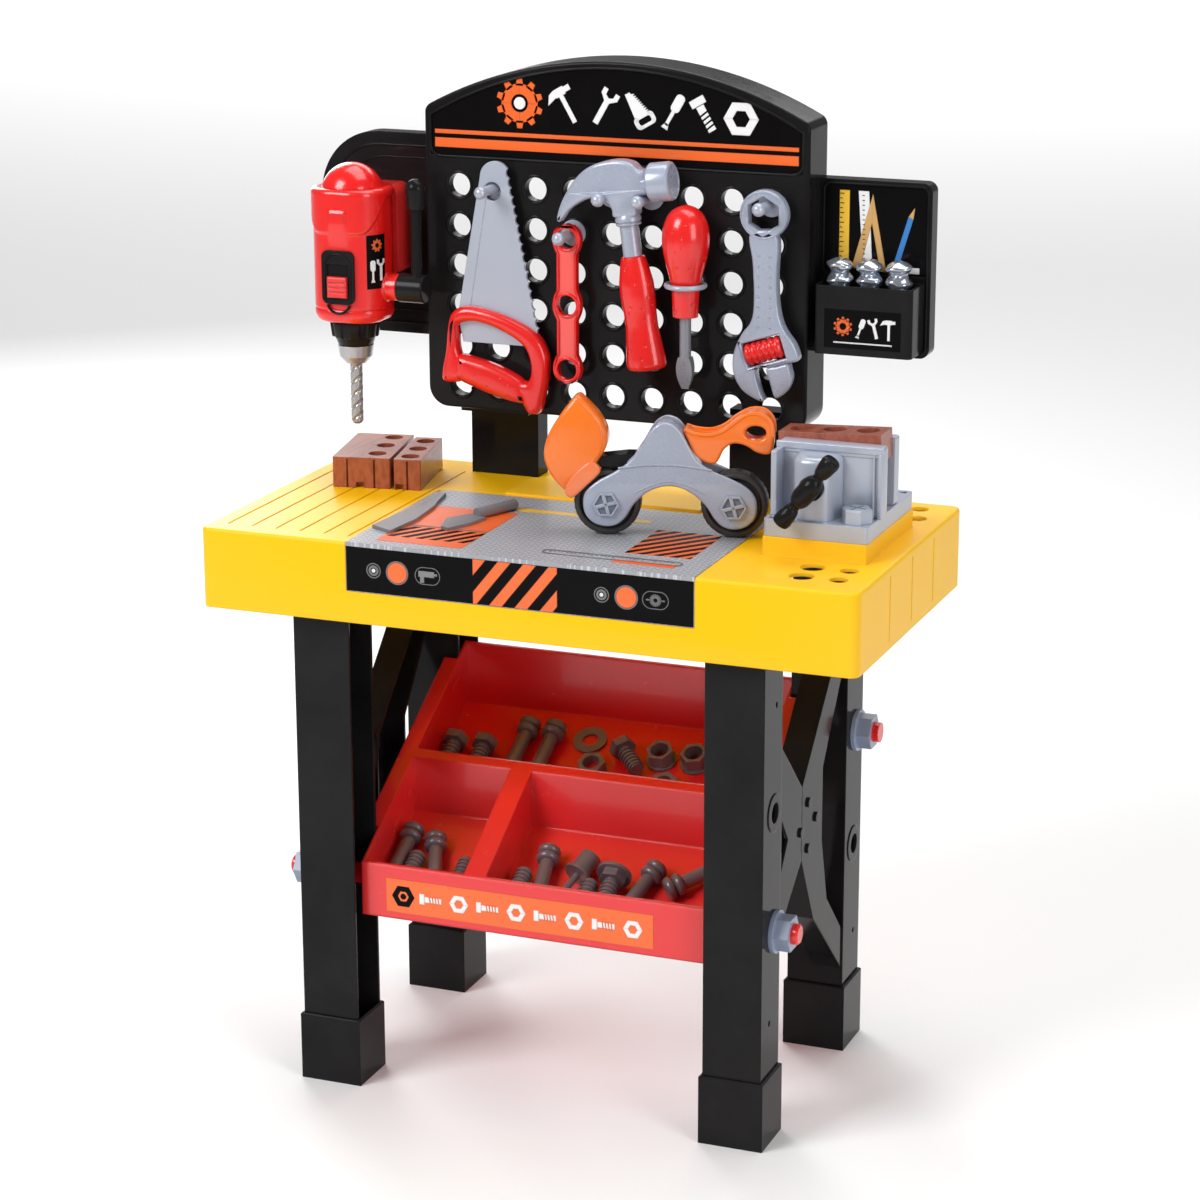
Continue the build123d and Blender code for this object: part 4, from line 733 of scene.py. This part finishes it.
def board_beads():
    """Moulded lines round the header panel and the wings."""
    def line_on(name, outline, face, radius, closed=False):
        bead(name, "bench", [(u, face, v) for u, v in outline], radius, BLACK, closed)

    half, low, shoulder, top = 166.0, 770.6, 805.5, 850.4
    outline = arc((-half + 9, low + 9), 9, 180, 270, 6) + arc((half - 9, low + 9), 9, 270, 360, 6)
    outline += [(half, shoulder), *bowed(half, shoulder, top, 36), (-half, shoulder)]
    line_on("header_bead", outline, box_of("pegboard").front + 0.2, 1.3, closed=True)
    wing = box_of("wing_left")
    left, low, right, top = wing.left + 11, wing.low + 9, wing.right - 4, wing.top - 11
    outline = [(right, low), *arc((left + 34, low + 34), 34, 270, 180),
               *arc((left + 44, top - 44), 44, 180, 90), (right, top)]
    line_on("wing_left_bead", outline, wing.front, 1.2)
    inner = [((u - right) * 0.86 + right, (v - 700) * 0.86 + 700) for u, v in outline]
    line_on("wing_left_inner", inner, wing.front, 0.8)
    wing = box_of("wing_right")
    inset = 3.2
    outline = rounded(wing.left + inset, wing.low + inset, wing.right - inset, wing.top - inset, 6)
    line_on("wing_right_bead", outline, wing.front, 1.1, closed=True)


# ---- drill press ----
DRILL = (-228.0, 40.0)
DRILL_PLACE = Matrix.Translation(metres((*DRILL, 0)))
SHELL_HALF_W, SHELL_HALF_D, SHELL_R = 32.0, 30.0, 24.0
FLAT_W, FLAT_D = SHELL_HALF_W - SHELL_R, 2 * (SHELL_HALF_D - SHELL_R)
QUARTER = SHELL_R * math.pi / 2
SHELL_REACH = 2 * FLAT_W + 2 * QUARTER + FLAT_D


def round_shell(s, push=0.0):
    """Point on the housing's outline, s mm round from the middle of its front."""
    side, a = (1 if s >= 0 else -1), abs(s)
    if a < FLAT_W:
        point, normal = (a, -SHELL_HALF_D), (0.0, -1.0)
    elif a < FLAT_W + QUARTER:
        turn = (a - FLAT_W) / SHELL_R
        normal = (math.sin(turn), -math.cos(turn))
        point = (FLAT_W + SHELL_R * normal[0], -FLAT_D / 2 + SHELL_R * normal[1])
    elif a < FLAT_W + QUARTER + FLAT_D:
        point, normal = (SHELL_HALF_W, a - FLAT_W - QUARTER - FLAT_D / 2), (1.0, 0.0)
    elif a < SHELL_REACH - FLAT_W:
        turn = (a - FLAT_W - QUARTER - FLAT_D) / SHELL_R
        normal = (math.cos(turn), math.sin(turn))
        point = (FLAT_W + SHELL_R * normal[0], FLAT_D / 2 + SHELL_R * normal[1])
    else:
        point, normal = (SHELL_REACH - a, SHELL_HALF_D), (0.0, 1.0)
    return (DRILL[0] + side * (point[0] + push * normal[0]), DRILL[1] + point[1] + push * normal[1])


def hood(s, z):
    """How far the housing stands out: an upper hood that dips to a nose at the front."""
    line = 708 + 29 * ramp01((abs(s) - 20) / 32)
    out = 1.5 * ramp01((z - line) / 1.6 + 0.5)
    nose = ramp01((9.5 - abs(s)) / 2.4) * ramp01((729 - z) / 3) * ramp01((z - 696) / 22)
    return max(out, 2.9 * nose)


def drill_housing():
    """Moulded housing in place of the plain shell, with its hood and nose."""
    shell = box_of("drill_shell")
    low, top = shell.low, shell.top
    count = 150
    round_s = [-SHELL_REACH + 2 * SHELL_REACH * i / count for i in range(count)]

    def inset_rows(steps):
        return [[(*round_shell(s, -inset), z) for s in round_s] for inset, z in steps]
    # inner walls and an opening for the quill and its rack
    rows = inset_rows(((3, top - 3.2), (3, low + 4), (11.5, low + 4), (11.5, low), (8, low),
                       (5, low + 0.5), (2.4, low + 1.8), (0.8, low + 4)))
    z = low + 7
    while z < top - 4:
        groove = 0.7 * (1 - ramp01(abs(z - low - 12) / 1.2))
        rows.append([(*round_shell(s, hood(s, z) - groove), z) for s in round_s])
        z += 1.0
    rows += inset_rows(((-1.2, top - 2.8), (-0.4, top - 1.2), (1.2, top - 0.2), (3.5, top), (8, top)))
    housing = skin("drill_housing", "bench", rows, RED, crease=40)
    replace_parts(housing, "drill_shell")
    boss = [(12.9, -200), (12.9, -195.5), (11.6, -194.2), (11.6, shell.right - 1), (10.8, shell.right)]
    rows = turned_about(NO_TURN, boss, 0, 40, (DRILL[1], 660.0))
    skin("drill_boss", "bench", rows, RED)


def drill_label():
    """Small printed panel on the right front of the housing, with plain signs."""
    def sheet(s, z, lift):
        return (*round_shell(s, 0.25 + lift), z)
    printed("drill_label", sheet, [box2(25 + 2 * i, 661, 27 + 2 * i, 707) for i in range(10)],
            PRINT_BLACK)
    printed("drill_label_gear", sheet, moved(gear_sign(5.6, 9), (35, 698)), PRINT_ORANGE, 1)
    white = moved(DRIVER_SIGN, (30.5, 676), 0.95) + moved(SPANNER_SIGN, (39, 676), 0.95)
    printed("drill_label_signs", sheet, white, PRINT_WHITE, 1)


def drill_details():
    """Twisted bit, fluted chuck and the arch round the switch."""
    low, top = box_of("drill_bit").low, box_of("drill_bit").top

    def flute(radius, height, angle):
        wave = math.cos(2 * (angle - math.tau * (height - low) / 22))
        return radius * (1 - 0.30 * ramp01((wave - 0.72) / 0.28))
    profile = [(3.0, low), (4.3, low + 0.8), (5.3, low + 2.4)]
    profile += [(5.3, low + 3 + i) for i in range(int(top - low) - 3)] + [(5.3, top)]
    rows = turned_about(DRILL_PLACE, profile, steps=64, wobble=flute)
    bit = skin("drill_twist_bit", "drill_spindle_body", rows, SILVER, crease=60)
    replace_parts(bit, "drill_bit")
    grip_low, top = box_of("drill_chuck").low, box_of("drill_chuck").top

    def lobes(radius, height, angle):
        fluted = height > grip_low + 7
        return radius * (1 - 0.075 * ramp01((math.cos(8 * angle) - 0.1) * 3)) if fluted else radius
    profile = [
        (6, grip_low), (14.6, grip_low), (15.4, grip_low + 0.8), (17.4, grip_low + 6.4),
        (17.8, grip_low + 7), (19.6, grip_low + 7.3), (20.3, grip_low + 8.2), (21.9, top - 1.4),
        (21.9, top - 0.6), (20, top)]
    rows = turned_about(DRILL_PLACE, profile, steps=128, wobble=lobes)
    chuck = skin("drill_chuck_lobed", "drill_spindle_body", rows, BLACK)
    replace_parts(chuck, "drill_chuck")
    plate_box = box_of("switch_plate")
    left, right, low = plate_box.left + 3, plate_box.right - 3, plate_box.low + 2
    middle, radius = (left + right) / 2, (right - left) / 2
    arch = arc((middle, plate_box.top - 2.5 - radius), radius, 180, 0)
    for name, line, out, thick in (
            ("switch_arch", [(left, low), *arch, (right, low)], 0.0, 0.9),
            ("switch_lip", arc((middle, low + 1), radius - 1, 200, 340), 0.6, 1.2)):
        bead(name, "bench", [(u, plate_box.front + out, v) for u, v in line], thick, BLACK)


def twisted_augers():
    """Fat rope-like auger bits standing in the bin."""
    bits = box_of("auger_bits")
    low, top = bits.low, bits.top
    middle, depth = (bits.left + bits.right) / 2, (bits.front + bits.back) / 2

    def rope(turned):
        def reach(radius, height, angle):
            swing = angle - math.tau * height / 24 + turned
            bulge = 0.82 + 0.18 * math.cos(math.tau * (height - top + 6) / 12 + 0.5 * math.cos(swing))
            return radius * bulge * (1 + 0.05 * math.cos(4 * swing + height / 2))
        return reach
    profile = [(4, low), (9, low), (9, low + 26)]
    profile += [(11.4, low + 27 + 0.8 * k) for k in range(56)]
    profile += [(10.4, top - 2.4), (8.2, top - 0.9), (4.5, top)]
    augers = []
    for i in range(3):
        place = Matrix.Translation(metres((middle + 25 * (i - 1), depth, 0)))
        rows = turned_about(place, profile, steps=64, wobble=rope(i * 1.7))
        augers.append(skin(f"auger_{i + 1}", "bench", rows, CHROME, crease=70))
    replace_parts(augers[0], "auger_bits")


board_collars()
board_beads()
drill_housing()
drill_label()
drill_details()
twisted_augers()


# ---- plates with rounded edges ----
def smoothed(points, steps=4):
    """Closed smooth line through the points."""
    made = []
    for i in range(len(points)):
        a, b, c, d = (points[(i + k) % len(points)] for k in (-1, 0, 1, 2))
        for s in range(steps):
            t = s / steps
            made.append([0.5 * (2 * b[k] + (c[k] - a[k]) * t
                                + (2 * a[k] - 5 * b[k] + 4 * c[k] - d[k]) * t * t
                                + (3 * b[k] - 3 * c[k] + d[k] - a[k]) * t ** 3) for k in (0, 1)])
    return made


def plate(name, body, loops, depth, edge, material, place=NO_TURN, shape=None):
    """Moulding with rounded edges: closed (x, z) outlines in mm, the first outside and the
    rest holes, between two depths. shape may alter a point, place moves the whole piece."""
    curve = bpy.data.curves.new(name, "CURVE")
    curve.dimensions = "2D"
    curve.fill_mode = "BOTH"
    half = (depth[1] - depth[0]) / 2
    edge = min(edge, half - 0.05)
    curve.extrude = (half - edge) * MM
    curve.bevel_depth = edge * MM
    curve.offset = -edge * MM
    curve.bevel_resolution = 3
    flat = curve_mesh(curve, [[(u, v, 0) for u, v in loop] for loop in loops], True)
    grid = bmesh.new()
    grid.from_mesh(flat)
    bmesh.ops.remove_doubles(grid, verts=grid.verts, dist=0.02 * MM)
    middle = (depth[0] + depth[1]) / 2
    for vert in grid.verts:
        point = (vert.co.x / MM, middle - vert.co.z / MM, vert.co.y / MM)
        vert.co = place @ metres(shape(*point) if shape else point)
    return grid_piece(grid, name, body, material, 38)


def frame_at(origin, turn=0.0, axis="Y"):
    """Matrix that puts shapes drawn around (0, 0, 0) at an origin in mm, turned by degrees."""
    return Matrix.Translation(metres(origin)) @ Matrix.Rotation(math.radians(turn), 4, axis)


# ---- hanging tools ----
def better_saw():
    """Closed D handle with a fatter grip bar, in place of the flat one."""
    grip = box_of("saw_handle")
    outer = smoothed([
        (-141, 640), (-128, 645.5), (-107, 643), (-84, 636), (-64, 625), (-54.5, 608), (-54.5, 590),
        (-58, 572), (-62, 558), (-71, 556.5), (-76, 563), (-82, 572), (-110, 581), (-130, 582.5),
        (-137, 579), (-150, 579), (-151.5, 588), (-148, 606), (-145.5, 628)], 6)
    inner = smoothed([(-135, 630), (-118, 632.5), (-96, 626.5), (-76, 615), (-69.5, 601), (-70, 588),
                      (-76, 584), (-92, 591), (-112, 597.5), (-131, 600), (-136, 606), (-137, 620)], 6)
    handle = plate("saw_handle_frame", "saw", [outer, inner], (grip.front + 1, grip.back - 1), 5.5, RED)
    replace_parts(handle, "saw_handle")
    bar = smoothed([(-136, 603), (-118, 600.5), (-98, 595), (-79, 586), (-74, 578), (-72, 566),
                    (-84, 565), (-104, 569.5), (-124, 576), (-137, 582), (-139, 592)], 6)
    plate("saw_grip_bar", "saw", [bar], (grip.front, grip.back), 7.5, GRIP_RED)
    y = box_of("saw_blade").front + 0.2
    bead("saw_rib", "saw", [(-127, y, 640), (-109, y, 748)], 0.6, TOOL_GREY)


def better_hammer():
    """Claw, face and turned neck of the hammer, and its waisted grip."""
    place = frame_at((18, 45, 757), -7.8)
    claw = smoothed([
        (11, 19), (0, 22.4), (-15, 22), (-29, 18), (-42, 9), (-52, -2.5), (-58.5, -12.5), (-62, -21.5),
        (-60.6, -24.6), (-56.6, -21.6), (-49, -14.6), (-38, -9.4), (-28, -7), (-21, -8.6),
        (-13.5, -13), (-10.8, -18), (-10, -24), (0, -25.5), (10, -24), (10.4, -14), (13, -8.6),
        (22, -7.4), (23, 1), (22, 11), (16, 13.6)])

    def thinner(x, y, z):
        return (x, y * (1 - 0.45 * ramp01((-18 - x) / 42)), z)
    head = plate("hammer_claw", "hammer", [claw], (-9, 9), 3.0, TOOL_GREY, place, thinner)
    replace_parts(head, "hammer_head")
    face = [(5, 17), (9.5, 18), (9.5, 21.5), (11.5, 23), (15, 24), (16.3, 25.6), (16.3, 41.2),
            (15.6, 43), (14, 44), (12.4, 44), (12.0, 43.4), (2, 43.2)]
    skin("hammer_face", "hammer", turned_about(place, face, 0, centre=(0, 1)), TOOL_GREY)
    neck = [(8, -58), (8, -32.5), (9.8, -32.2), (10.6, -31.4), (10.6, -30.4), (9.8, -29.8),
            (9.8, -29.2), (11, -28.6), (11, -26), (10.2, -24.6), (9.4, -23)]
    skin("hammer_neck", "hammer", turned_about(place, neck), TOOL_GREY)
    waist = [(9.0, -58), (10.4, -59), (12.2, -66), (14.8, -80), (15.0, -92), (14.0, -106),
             (14.0, -118), (15.6, -132), (17.0, -144), (17.2, -150), (16, -152.6), (12.5, -154)]
    rows = [[a + (b - a) * k / 4 for a, b in zip(upper, lower)]
            for upper, lower in zip(waist, waist[1:]) for k in range(4)]

    def flattened(radius, height, angle):
        return radius / math.sqrt(math.cos(angle) ** 2 + (math.sin(angle) / 0.82) ** 2)
    rows = turned_about(place, rows + waist[-1:], wobble=flattened)
    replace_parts(skin("hammer_grip_waisted", "hammer", rows, GRIP_RED), "hammer_grip")


def better_link():
    """Three-hole spanner: a pale web inside a raised rim."""
    link = box_of("link_spanner")
    x = (link.left + link.right) / 2
    end_r, waist, hole_r = 12.6, 8.9, 8.5
    holes = [link.top - 12.7, 653.0, link.low + 12.7]

    def half_width(z):
        near = min(abs(z - hole) for hole in holes)
        if z > holes[0] or z < holes[2]:
            return math.sqrt(max(0.0, end_r ** 2 - near ** 2))
        slimmer = 0.72 * near if near >= 1 else 0
        return max(waist, math.sqrt(max(0.0, end_r ** 2 - slimmer ** 2)))

    def side_line(shrink):
        top, low = link.top - shrink - 0.1, link.low + shrink + 0.1
        heights = [top + (low - top) * i / 60 for i in range(61)]
        right = [(x + max(0.6, half_width(z) - shrink), z) for z in heights]
        return right + [(2 * x - u, z) for u, z in reversed(right)]
    rings = [disc(x, z, hole_r, 32) for z in holes]
    web = plate("spanner_web", "spanner", [side_line(1.2)] + rings,
                (link.front + 1.8, link.back - 1.8), 0.4, PALE_RED)
    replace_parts(web, "link_spanner")
    depth = (link.front, link.back)
    plate("spanner_rim", "spanner", [side_line(0), side_line(2.3)], depth, 1.1, RED)
    for i, z in enumerate(holes):
        plate(f"spanner_eye_{i + 1}", "spanner", [disc(x, z, 11.0, 32), rings[i]], depth, 0.9, RED)


def better_wrench():
    """Ring, handle, jaw and ribbed worm of the adjustable wrench."""
    body = box_of("wrench_body")
    depth = (body.front, body.back)
    eye = (138.5, body.top - 20.5)
    hexagon = arc(eye, 25.6 / math.sqrt(3), 30, 330, 5)
    ring_piece = plate("wrench_ring", "wrench", [disc(*eye, 20.5, 56), hexagon], depth, 2.6, TOOL_GREY)
    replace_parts(ring_piece, "wrench_body")
    plate("wrench_ring_lip", "wrench", [disc(*eye, 19.6, 56), disc(*eye, 18.4, 56)],
          (body.front - 0.4, body.front + 1), 0.3, TOOL_GREY)
    handle = smoothed([
        (127.5, 724), (129.6, 700), (131, 672), (129, 652), (119.5, 638), (113.5, 622), (114, 606),
        (121, 593.5), (133, 586), (140.5, 585.2), (137, 594), (133.6, 610.4), (146, 613.6), (160, 618),
        (170, 621.6), (166.5, 634), (157, 647), (152, 664), (150.5, 690), (149.8, 724)], 5)
    lean, worm_x, worm_z = 18, 140, 627
    window = moved([box2(-17, -10.2, 17, 10.2)], (worm_x, worm_z), 1, lean)
    plate("wrench_handle", "wrench", [handle, *window], depth, 2.4, TOOL_GREY)
    dots = bmesh.new()
    for column in (-1, 1):
        for i in range(8):
            spot = (140.2 + 5.2 * column + 0.02 * i, body.front - 0.1, 706 - 8.4 * i)
            bmesh.ops.create_icosphere(dots, subdivisions=2, radius=0.95 * MM, matrix=frame_at(spot))
    grid_piece(dots, "wrench_dots", "wrench", TOOL_GREY, SMOOTH)
    profile = [(3.2, -16), (7.6, -16)]
    for i in range(6):
        start = -15.6 + 5.2 * i
        profile += [(8.0, start), (9.3, start + 1.0), (9.6, start + 2.2), (9.3, start + 3.6),
                    (8.0, start + 4.8)]
    profile += [(7.6, 16), (3.2, 16)]
    worm = box_of("wrench_worm")
    place = frame_at((worm_x, (worm.front + worm.back) / 2, worm_z), -lean)
    ribbed = skin("wrench_worm_ribbed", "wrench_worm_body", turned_about(place, profile, 0), RED,
                  crease=60)
    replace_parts(ribbed, "wrench_worm")
    jaw = smoothed([(-2.3, -39.4), (4, -39.6), (11.5, -35), (16.6, -27.5), (17.4, -20), (16.6, -15.2),
                    (7, -14.9), (-2.2, -14.9), (-2.6, -26)], 5)
    lower = plate("wrench_jaw_round", "wrench_jaw_body", [jaw], (-6, 6), 2.4, TOOL_GREY,
                  frame_at((worm_x, 52, worm_z), -lean))
    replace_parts(lower, "wrench_jaw")


better_saw()
better_hammer()
better_link()
better_wrench()


# ---- take-apart motorbike ----
BIKE_PLACE = frame_at((38, -43, 485.9), 15, "Z")
HUB_PLACES = {end: BIKE_PLACE @ frame_at((x, 0, 27.5)) for end, x in (("front", 0), ("rear", 104))}
SIDES = ((-1, "near"), (1, "far"))


def bike_plate(name, loops, depth, edge, material=TOOL_GREY, place=BIKE_PLACE, shape=None):
    return plate(name, "motorbike", loops, depth, edge, material, place, shape)


def bike_wheels():
    """Tyres with a rim groove and a hub, in place of the plain discs."""
    half = [(4.1, 7.6), (15, 7.6), (17.8, 8.4), (19.2, 8.4), (19.8, 7.2), (21.2, 7.2), (21.9, 9.0),
            (23.4, 9.9), (25.2, 9.6), (26.8, 8.2), (27.5, 6.4)]
    profile = [(radius, -v) for radius, v in half] + [(27.5, -3), (27.5, 0), (27.5, 3)] + half[::-1]

    def tread(radius, v, angle):
        if radius > 27.3 and abs(v) < 6.5:
            return radius - 0.55 * ramp01((math.cos(30 * angle + abs(v) * 0.5) - 0.55) * 4)
        return radius
    for end, place in HUB_PLACES.items():
        rows = turned_about(place, profile, 1, steps=120, wobble=tread)
        tyre = skin(f"bike_tyre_{end}", f"{end}_wheel", rows, WHEEL, caps=False, crease=45)
        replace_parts(tyre, f"bike_wheel_{end}")


def bike_body():
    """Arched side shells with rounded rims, a crown between them and patterned hub caps."""
    shell = smoothed([
        (-17, 37), (-19, 27.5), (-17, 18), (-10, 11), (0, 8.5), (9, 10.5), (16, 17), (23, 28),
        (33, 37.5), (43, 42), (52, 43.5), (61, 42), (71, 37), (81, 28), (88, 17.5), (95, 10.8),
        (104, 8.5), (114, 11), (121, 18), (123, 27.5), (121, 37), (113, 45), (100, 51.5), (86, 57.5),
        (75, 65), (68, 76), (62, 87), (56, 93.8), (48, 96.4), (41, 94), (35, 87.5), (28.5, 76),
        (20, 64.5), (7, 54.5), (-7, 46.5)])
    shells = [bike_plate(f"bike_side_{name}", [shell], sorted((sign * 11.8, sign * 16)), 2.0)
              for sign, name in SIDES]
    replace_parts(shells[0], "bike_frame")
    crown = smoothed([(16, 60), (28, 73.5), (36, 88), (42, 94.2), (48, 96), (55, 93.6), (61.5, 87),
                      (68, 74.5), (78, 62), (62, 58), (48, 57), (32, 58)])
    bike_plate("bike_crown", [crown], (-13, 13), 2.0)
    for sign, name in SIDES:
        arch = [(u, sign * 16.0, 56.5 + 5.0 * math.sin(math.pi * (u - 2) / 92)) for u in range(10, 87, 4)]
        inner = [(u, sign * 15.9, 37 + 10.5 * math.sin(math.pi * (u - 22) / 60)) for u in range(24, 83, 3)]
        bead(f"bike_arch_{name}", "motorbike", arch, 0.9, TOOL_GREY, place=BIKE_PLACE)
        bead(f"bike_inner_{name}", "motorbike", inner, 0.6, TOOL_GREY, place=BIKE_PLACE)
    floors = []
    outer, inner = disc(0, 0, 11, 6), disc(0, 0, 9.0, 6)
    for end, place in HUB_PLACES.items():
        for sign, name in SIDES:
            tag = f"{end}_{name}"
            flat, raised = (sorted((sign * 15.6, sign * out)) for out in (17.2, 18.9))
            floors.append(bike_plate(f"hub_floor_{tag}", [inner], flat, 0.1, HUB_DARK, place))
            bike_plate(f"hub_rim_{tag}", [outer, inner], raised, 0.4, place=place)
            for i, turn in enumerate((15, 105)):
                bar = moved([box2(-9.2, -1.5, 9.2, 1.5)], (0, 0), 1, turn)
                bike_plate(f"hub_bar_{tag}_{i + 1}", bar, raised, 0.4, place=place)
    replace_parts(floors[0], "bike_axles")


def bike_bodywork():
    """Leaf-shaped front fairing with a guard, and the dished seat with its tail."""
    leaf = smoothed([
        (-29, 33), (-40, 41), (-48.5, 53), (-52, 67), (-48, 83), (-39, 98), (-30, 110), (-26, 114.4),
        (-22.4, 115), (-19, 112), (-10, 102.5), (-2.5, 92), (0.5, 81), (-1.5, 71.5), (-6, 64),
        (-11, 56), (-18, 47), (-24, 38)])

    def crowned(x, y, z):
        """Thin towards the outline's tip and full in the middle."""
        away = math.hypot((x + 24) / 30, (z - 74) / 48)
        return (x, y * (1.0 - 0.42 * ramp01((away - 0.35) / 0.75)), z)
    fairing = bike_plate("fairing_leaf", [leaf], (-14, 14), 3.0, ORANGE, shape=crowned)
    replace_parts(fairing, "bike_fairing")
    ridge = [(-24, 113), (-12, 101), (-4.5, 90), (-3.5, 80), (-6, 70), (-13, 61)]
    for sign, name in SIDES:
        bead(f"fairing_ridge_{name}", "motorbike", [crowned(u, sign * 13.6, v) for u, v in ridge], 0.9,
             ORANGE, place=BIKE_PLACE)
    guard = smoothed([(-34, 36), (-31, 32), (-26, 32.5), (-15, 43), (-6, 52), (-5.5, 57), (-10, 61.5),
                      (-15, 61.5), (-24, 54), (-32, 44)])
    bike_plate("fairing_guard", [guard], (-14.6, 14.6), 1.8, PALE_ORANGE)
    seat = smoothed([
        (62.5, 89), (66, 90), (73, 86.5), (84, 86), (95, 90.5), (105, 98.5), (115, 104.6),
        (126, 104.4), (134, 97), (136, 86), (135, 75), (131, 70.6), (122, 72), (113, 77.4), (103, 79),
        (95.5, 74), (92, 67), (89, 62.6), (84, 61.6), (76, 65), (70.4, 70), (66, 80)])
    tail = bike_plate("seat_tail", [seat, oval(121, 88, 8.5, 6, 32)], (-11, 11), 2.6, ORANGE)
    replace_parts(tail, "bike_seat")
    rim = smoothed([
        (64, 90.6), (72, 88.4), (84, 87.8), (94, 91.6), (104, 99.6), (115, 105.4), (127, 105),
        (135, 97.4), (136.6, 86), (134, 86), (132, 96), (125, 102), (115.4, 102.6), (106, 96.6),
        (96, 88.6), (85, 84.6), (73, 85.2), (65, 87.6)])
    for sign, name in SIDES:
        bike_plate(f"seat_rim_{name}", [rim], sorted((sign * 9.2, sign * 11.6)), 0.9, ORANGE)


bike_wheels()
bike_body()
bike_bodywork()


# ---- vise and worktop ----
JAW_FACE = -31.0


def jaw_plate(name, loops, out, back, edge):
    """Plate of the front jaw that stands out to a distance in front of the origin."""
    return plate(name, "bench", loops, (-out, back), edge, STEEL_GREY)


def better_jaw():
    """Front jaw with a stepped top rim, hollow bays, a rounded boss and side rims."""
    jaw = box_of("vise_front_jaw")
    left, right, foot, top = jaw.left, jaw.right, jaw.low, jaw.top
    panel = rounded(left + 1.5, foot, right - 1, top, 3)
    back = jaw_plate("jaw_panel", [panel, disc(218, 543, 6.1)], -JAW_FACE, jaw.back, 1.2)
    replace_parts(back, "vise_front_jaw")
    for step, out, low in ((0, 33.2, 6.0), (1, 32.2, 9.0)):
        rail = rounded(left + 0.3 + step, top - low, right - 0.3 - step, top - 2.6 * step, 1.4)
        jaw_plate(f"jaw_rail_{step + 1}", [rail], out, JAW_FACE + 1, 1.0)
    for name, x0, x1, out in (("left", left + 1.5, left + 6.5, 49.5),
                              ("edge", right - 4.6, right - 1, 34.5),
                              ("lip", right - 9.2, right - 7.4, 33.4)):
        jaw_plate(f"jaw_rib_{name}", [rounded(x0, foot, x1, top - 5, 0.8)], out, JAW_FACE + 1, 0.7)
    outline = smoothed([(199, -31), (199, -44), (201, -52), (207, -57), (216, -58), (225, -57),
                        (231, -52), (233, -44), (233, -31)])
    rows = []
    for inset, z in ((0, foot), (0, top - 12), (0.5, top - 10), (2, top - 8), (4.5, top - 6.8),
                     (9, top - 6.4)):
        narrower = [216 + (u - 216) * (1 - inset / 17) for u, v in outline]
        rows.append([(x, -30.0 if v > -32 else v + inset, z) for x, (u, v) in zip(narrower, outline)])
    skin("jaw_boss", "bench", rows, STEEL_GREY)


def vise_fittings():
    """Domed knob handle, and pressed crosses on the two hex bolt heads."""
    knobs = [
        (0.3, 0), (6, 0.2), (7.6, 1.4), (8.4, 4), (7.6, 11), (6.0, 16.5), (4.6, 18.5), (4.6, 21),
        (6.4, 23), (7.9, 26.5), (8.5, 30), (8.5, 41), (7.9, 44.5), (6.4, 48), (4.6, 50), (4.6, 52.5),
        (6.0, 54.5), (7.6, 60), (8.4, 67), (7.6, 69.6), (6, 70.8), (0.3, 71)]

    def thumb(radius, along, angle):
        flat = 0.7 * ramp01((radius - 6) / 2) * ramp01((abs(along) - 12) / 3)
        return radius - flat * max(0.0, math.cos(2 * angle)) ** 2
    rows = turned_about(frame_at((218, -74, 543), 38), [(radius, along - 35.5) for radius, along in knobs],
                        wobble=thumb)
    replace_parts(skin("vise_knobs", "vise_screw_body", rows, BLACK), "vise_handle")
    bars = moved([box2(-8.2, -0.9, 8.2, 0.9), box2(-0.9, -8.2, 0.9, 8.2)], (0, 0), 1, 20)
    for index, (x, y) in enumerate(((252, -47), (191, 54))):
        place = frame_at((x, y, box_of("vise_bolts").top), 90, "X")
        for i, bar in enumerate(bars):
            plate(f"bolt_cross_{index + 1}_{i + 1}", "bench", [bar], (-0.4, 0.25 + 0.02 * i), 0.1,
                  HUB_DARK, place)


def side_lines():
    """Raised lines down the worktop's right end."""
    for index, y in enumerate((-62.0, 0.0, 62.0)):
        bead(f"side_line_{index + 1}", "bench", [(284.9, y, 424), (284.9, y, 478)], 0.5, YELLOW)


better_jaw()
vise_fittings()
side_lines()
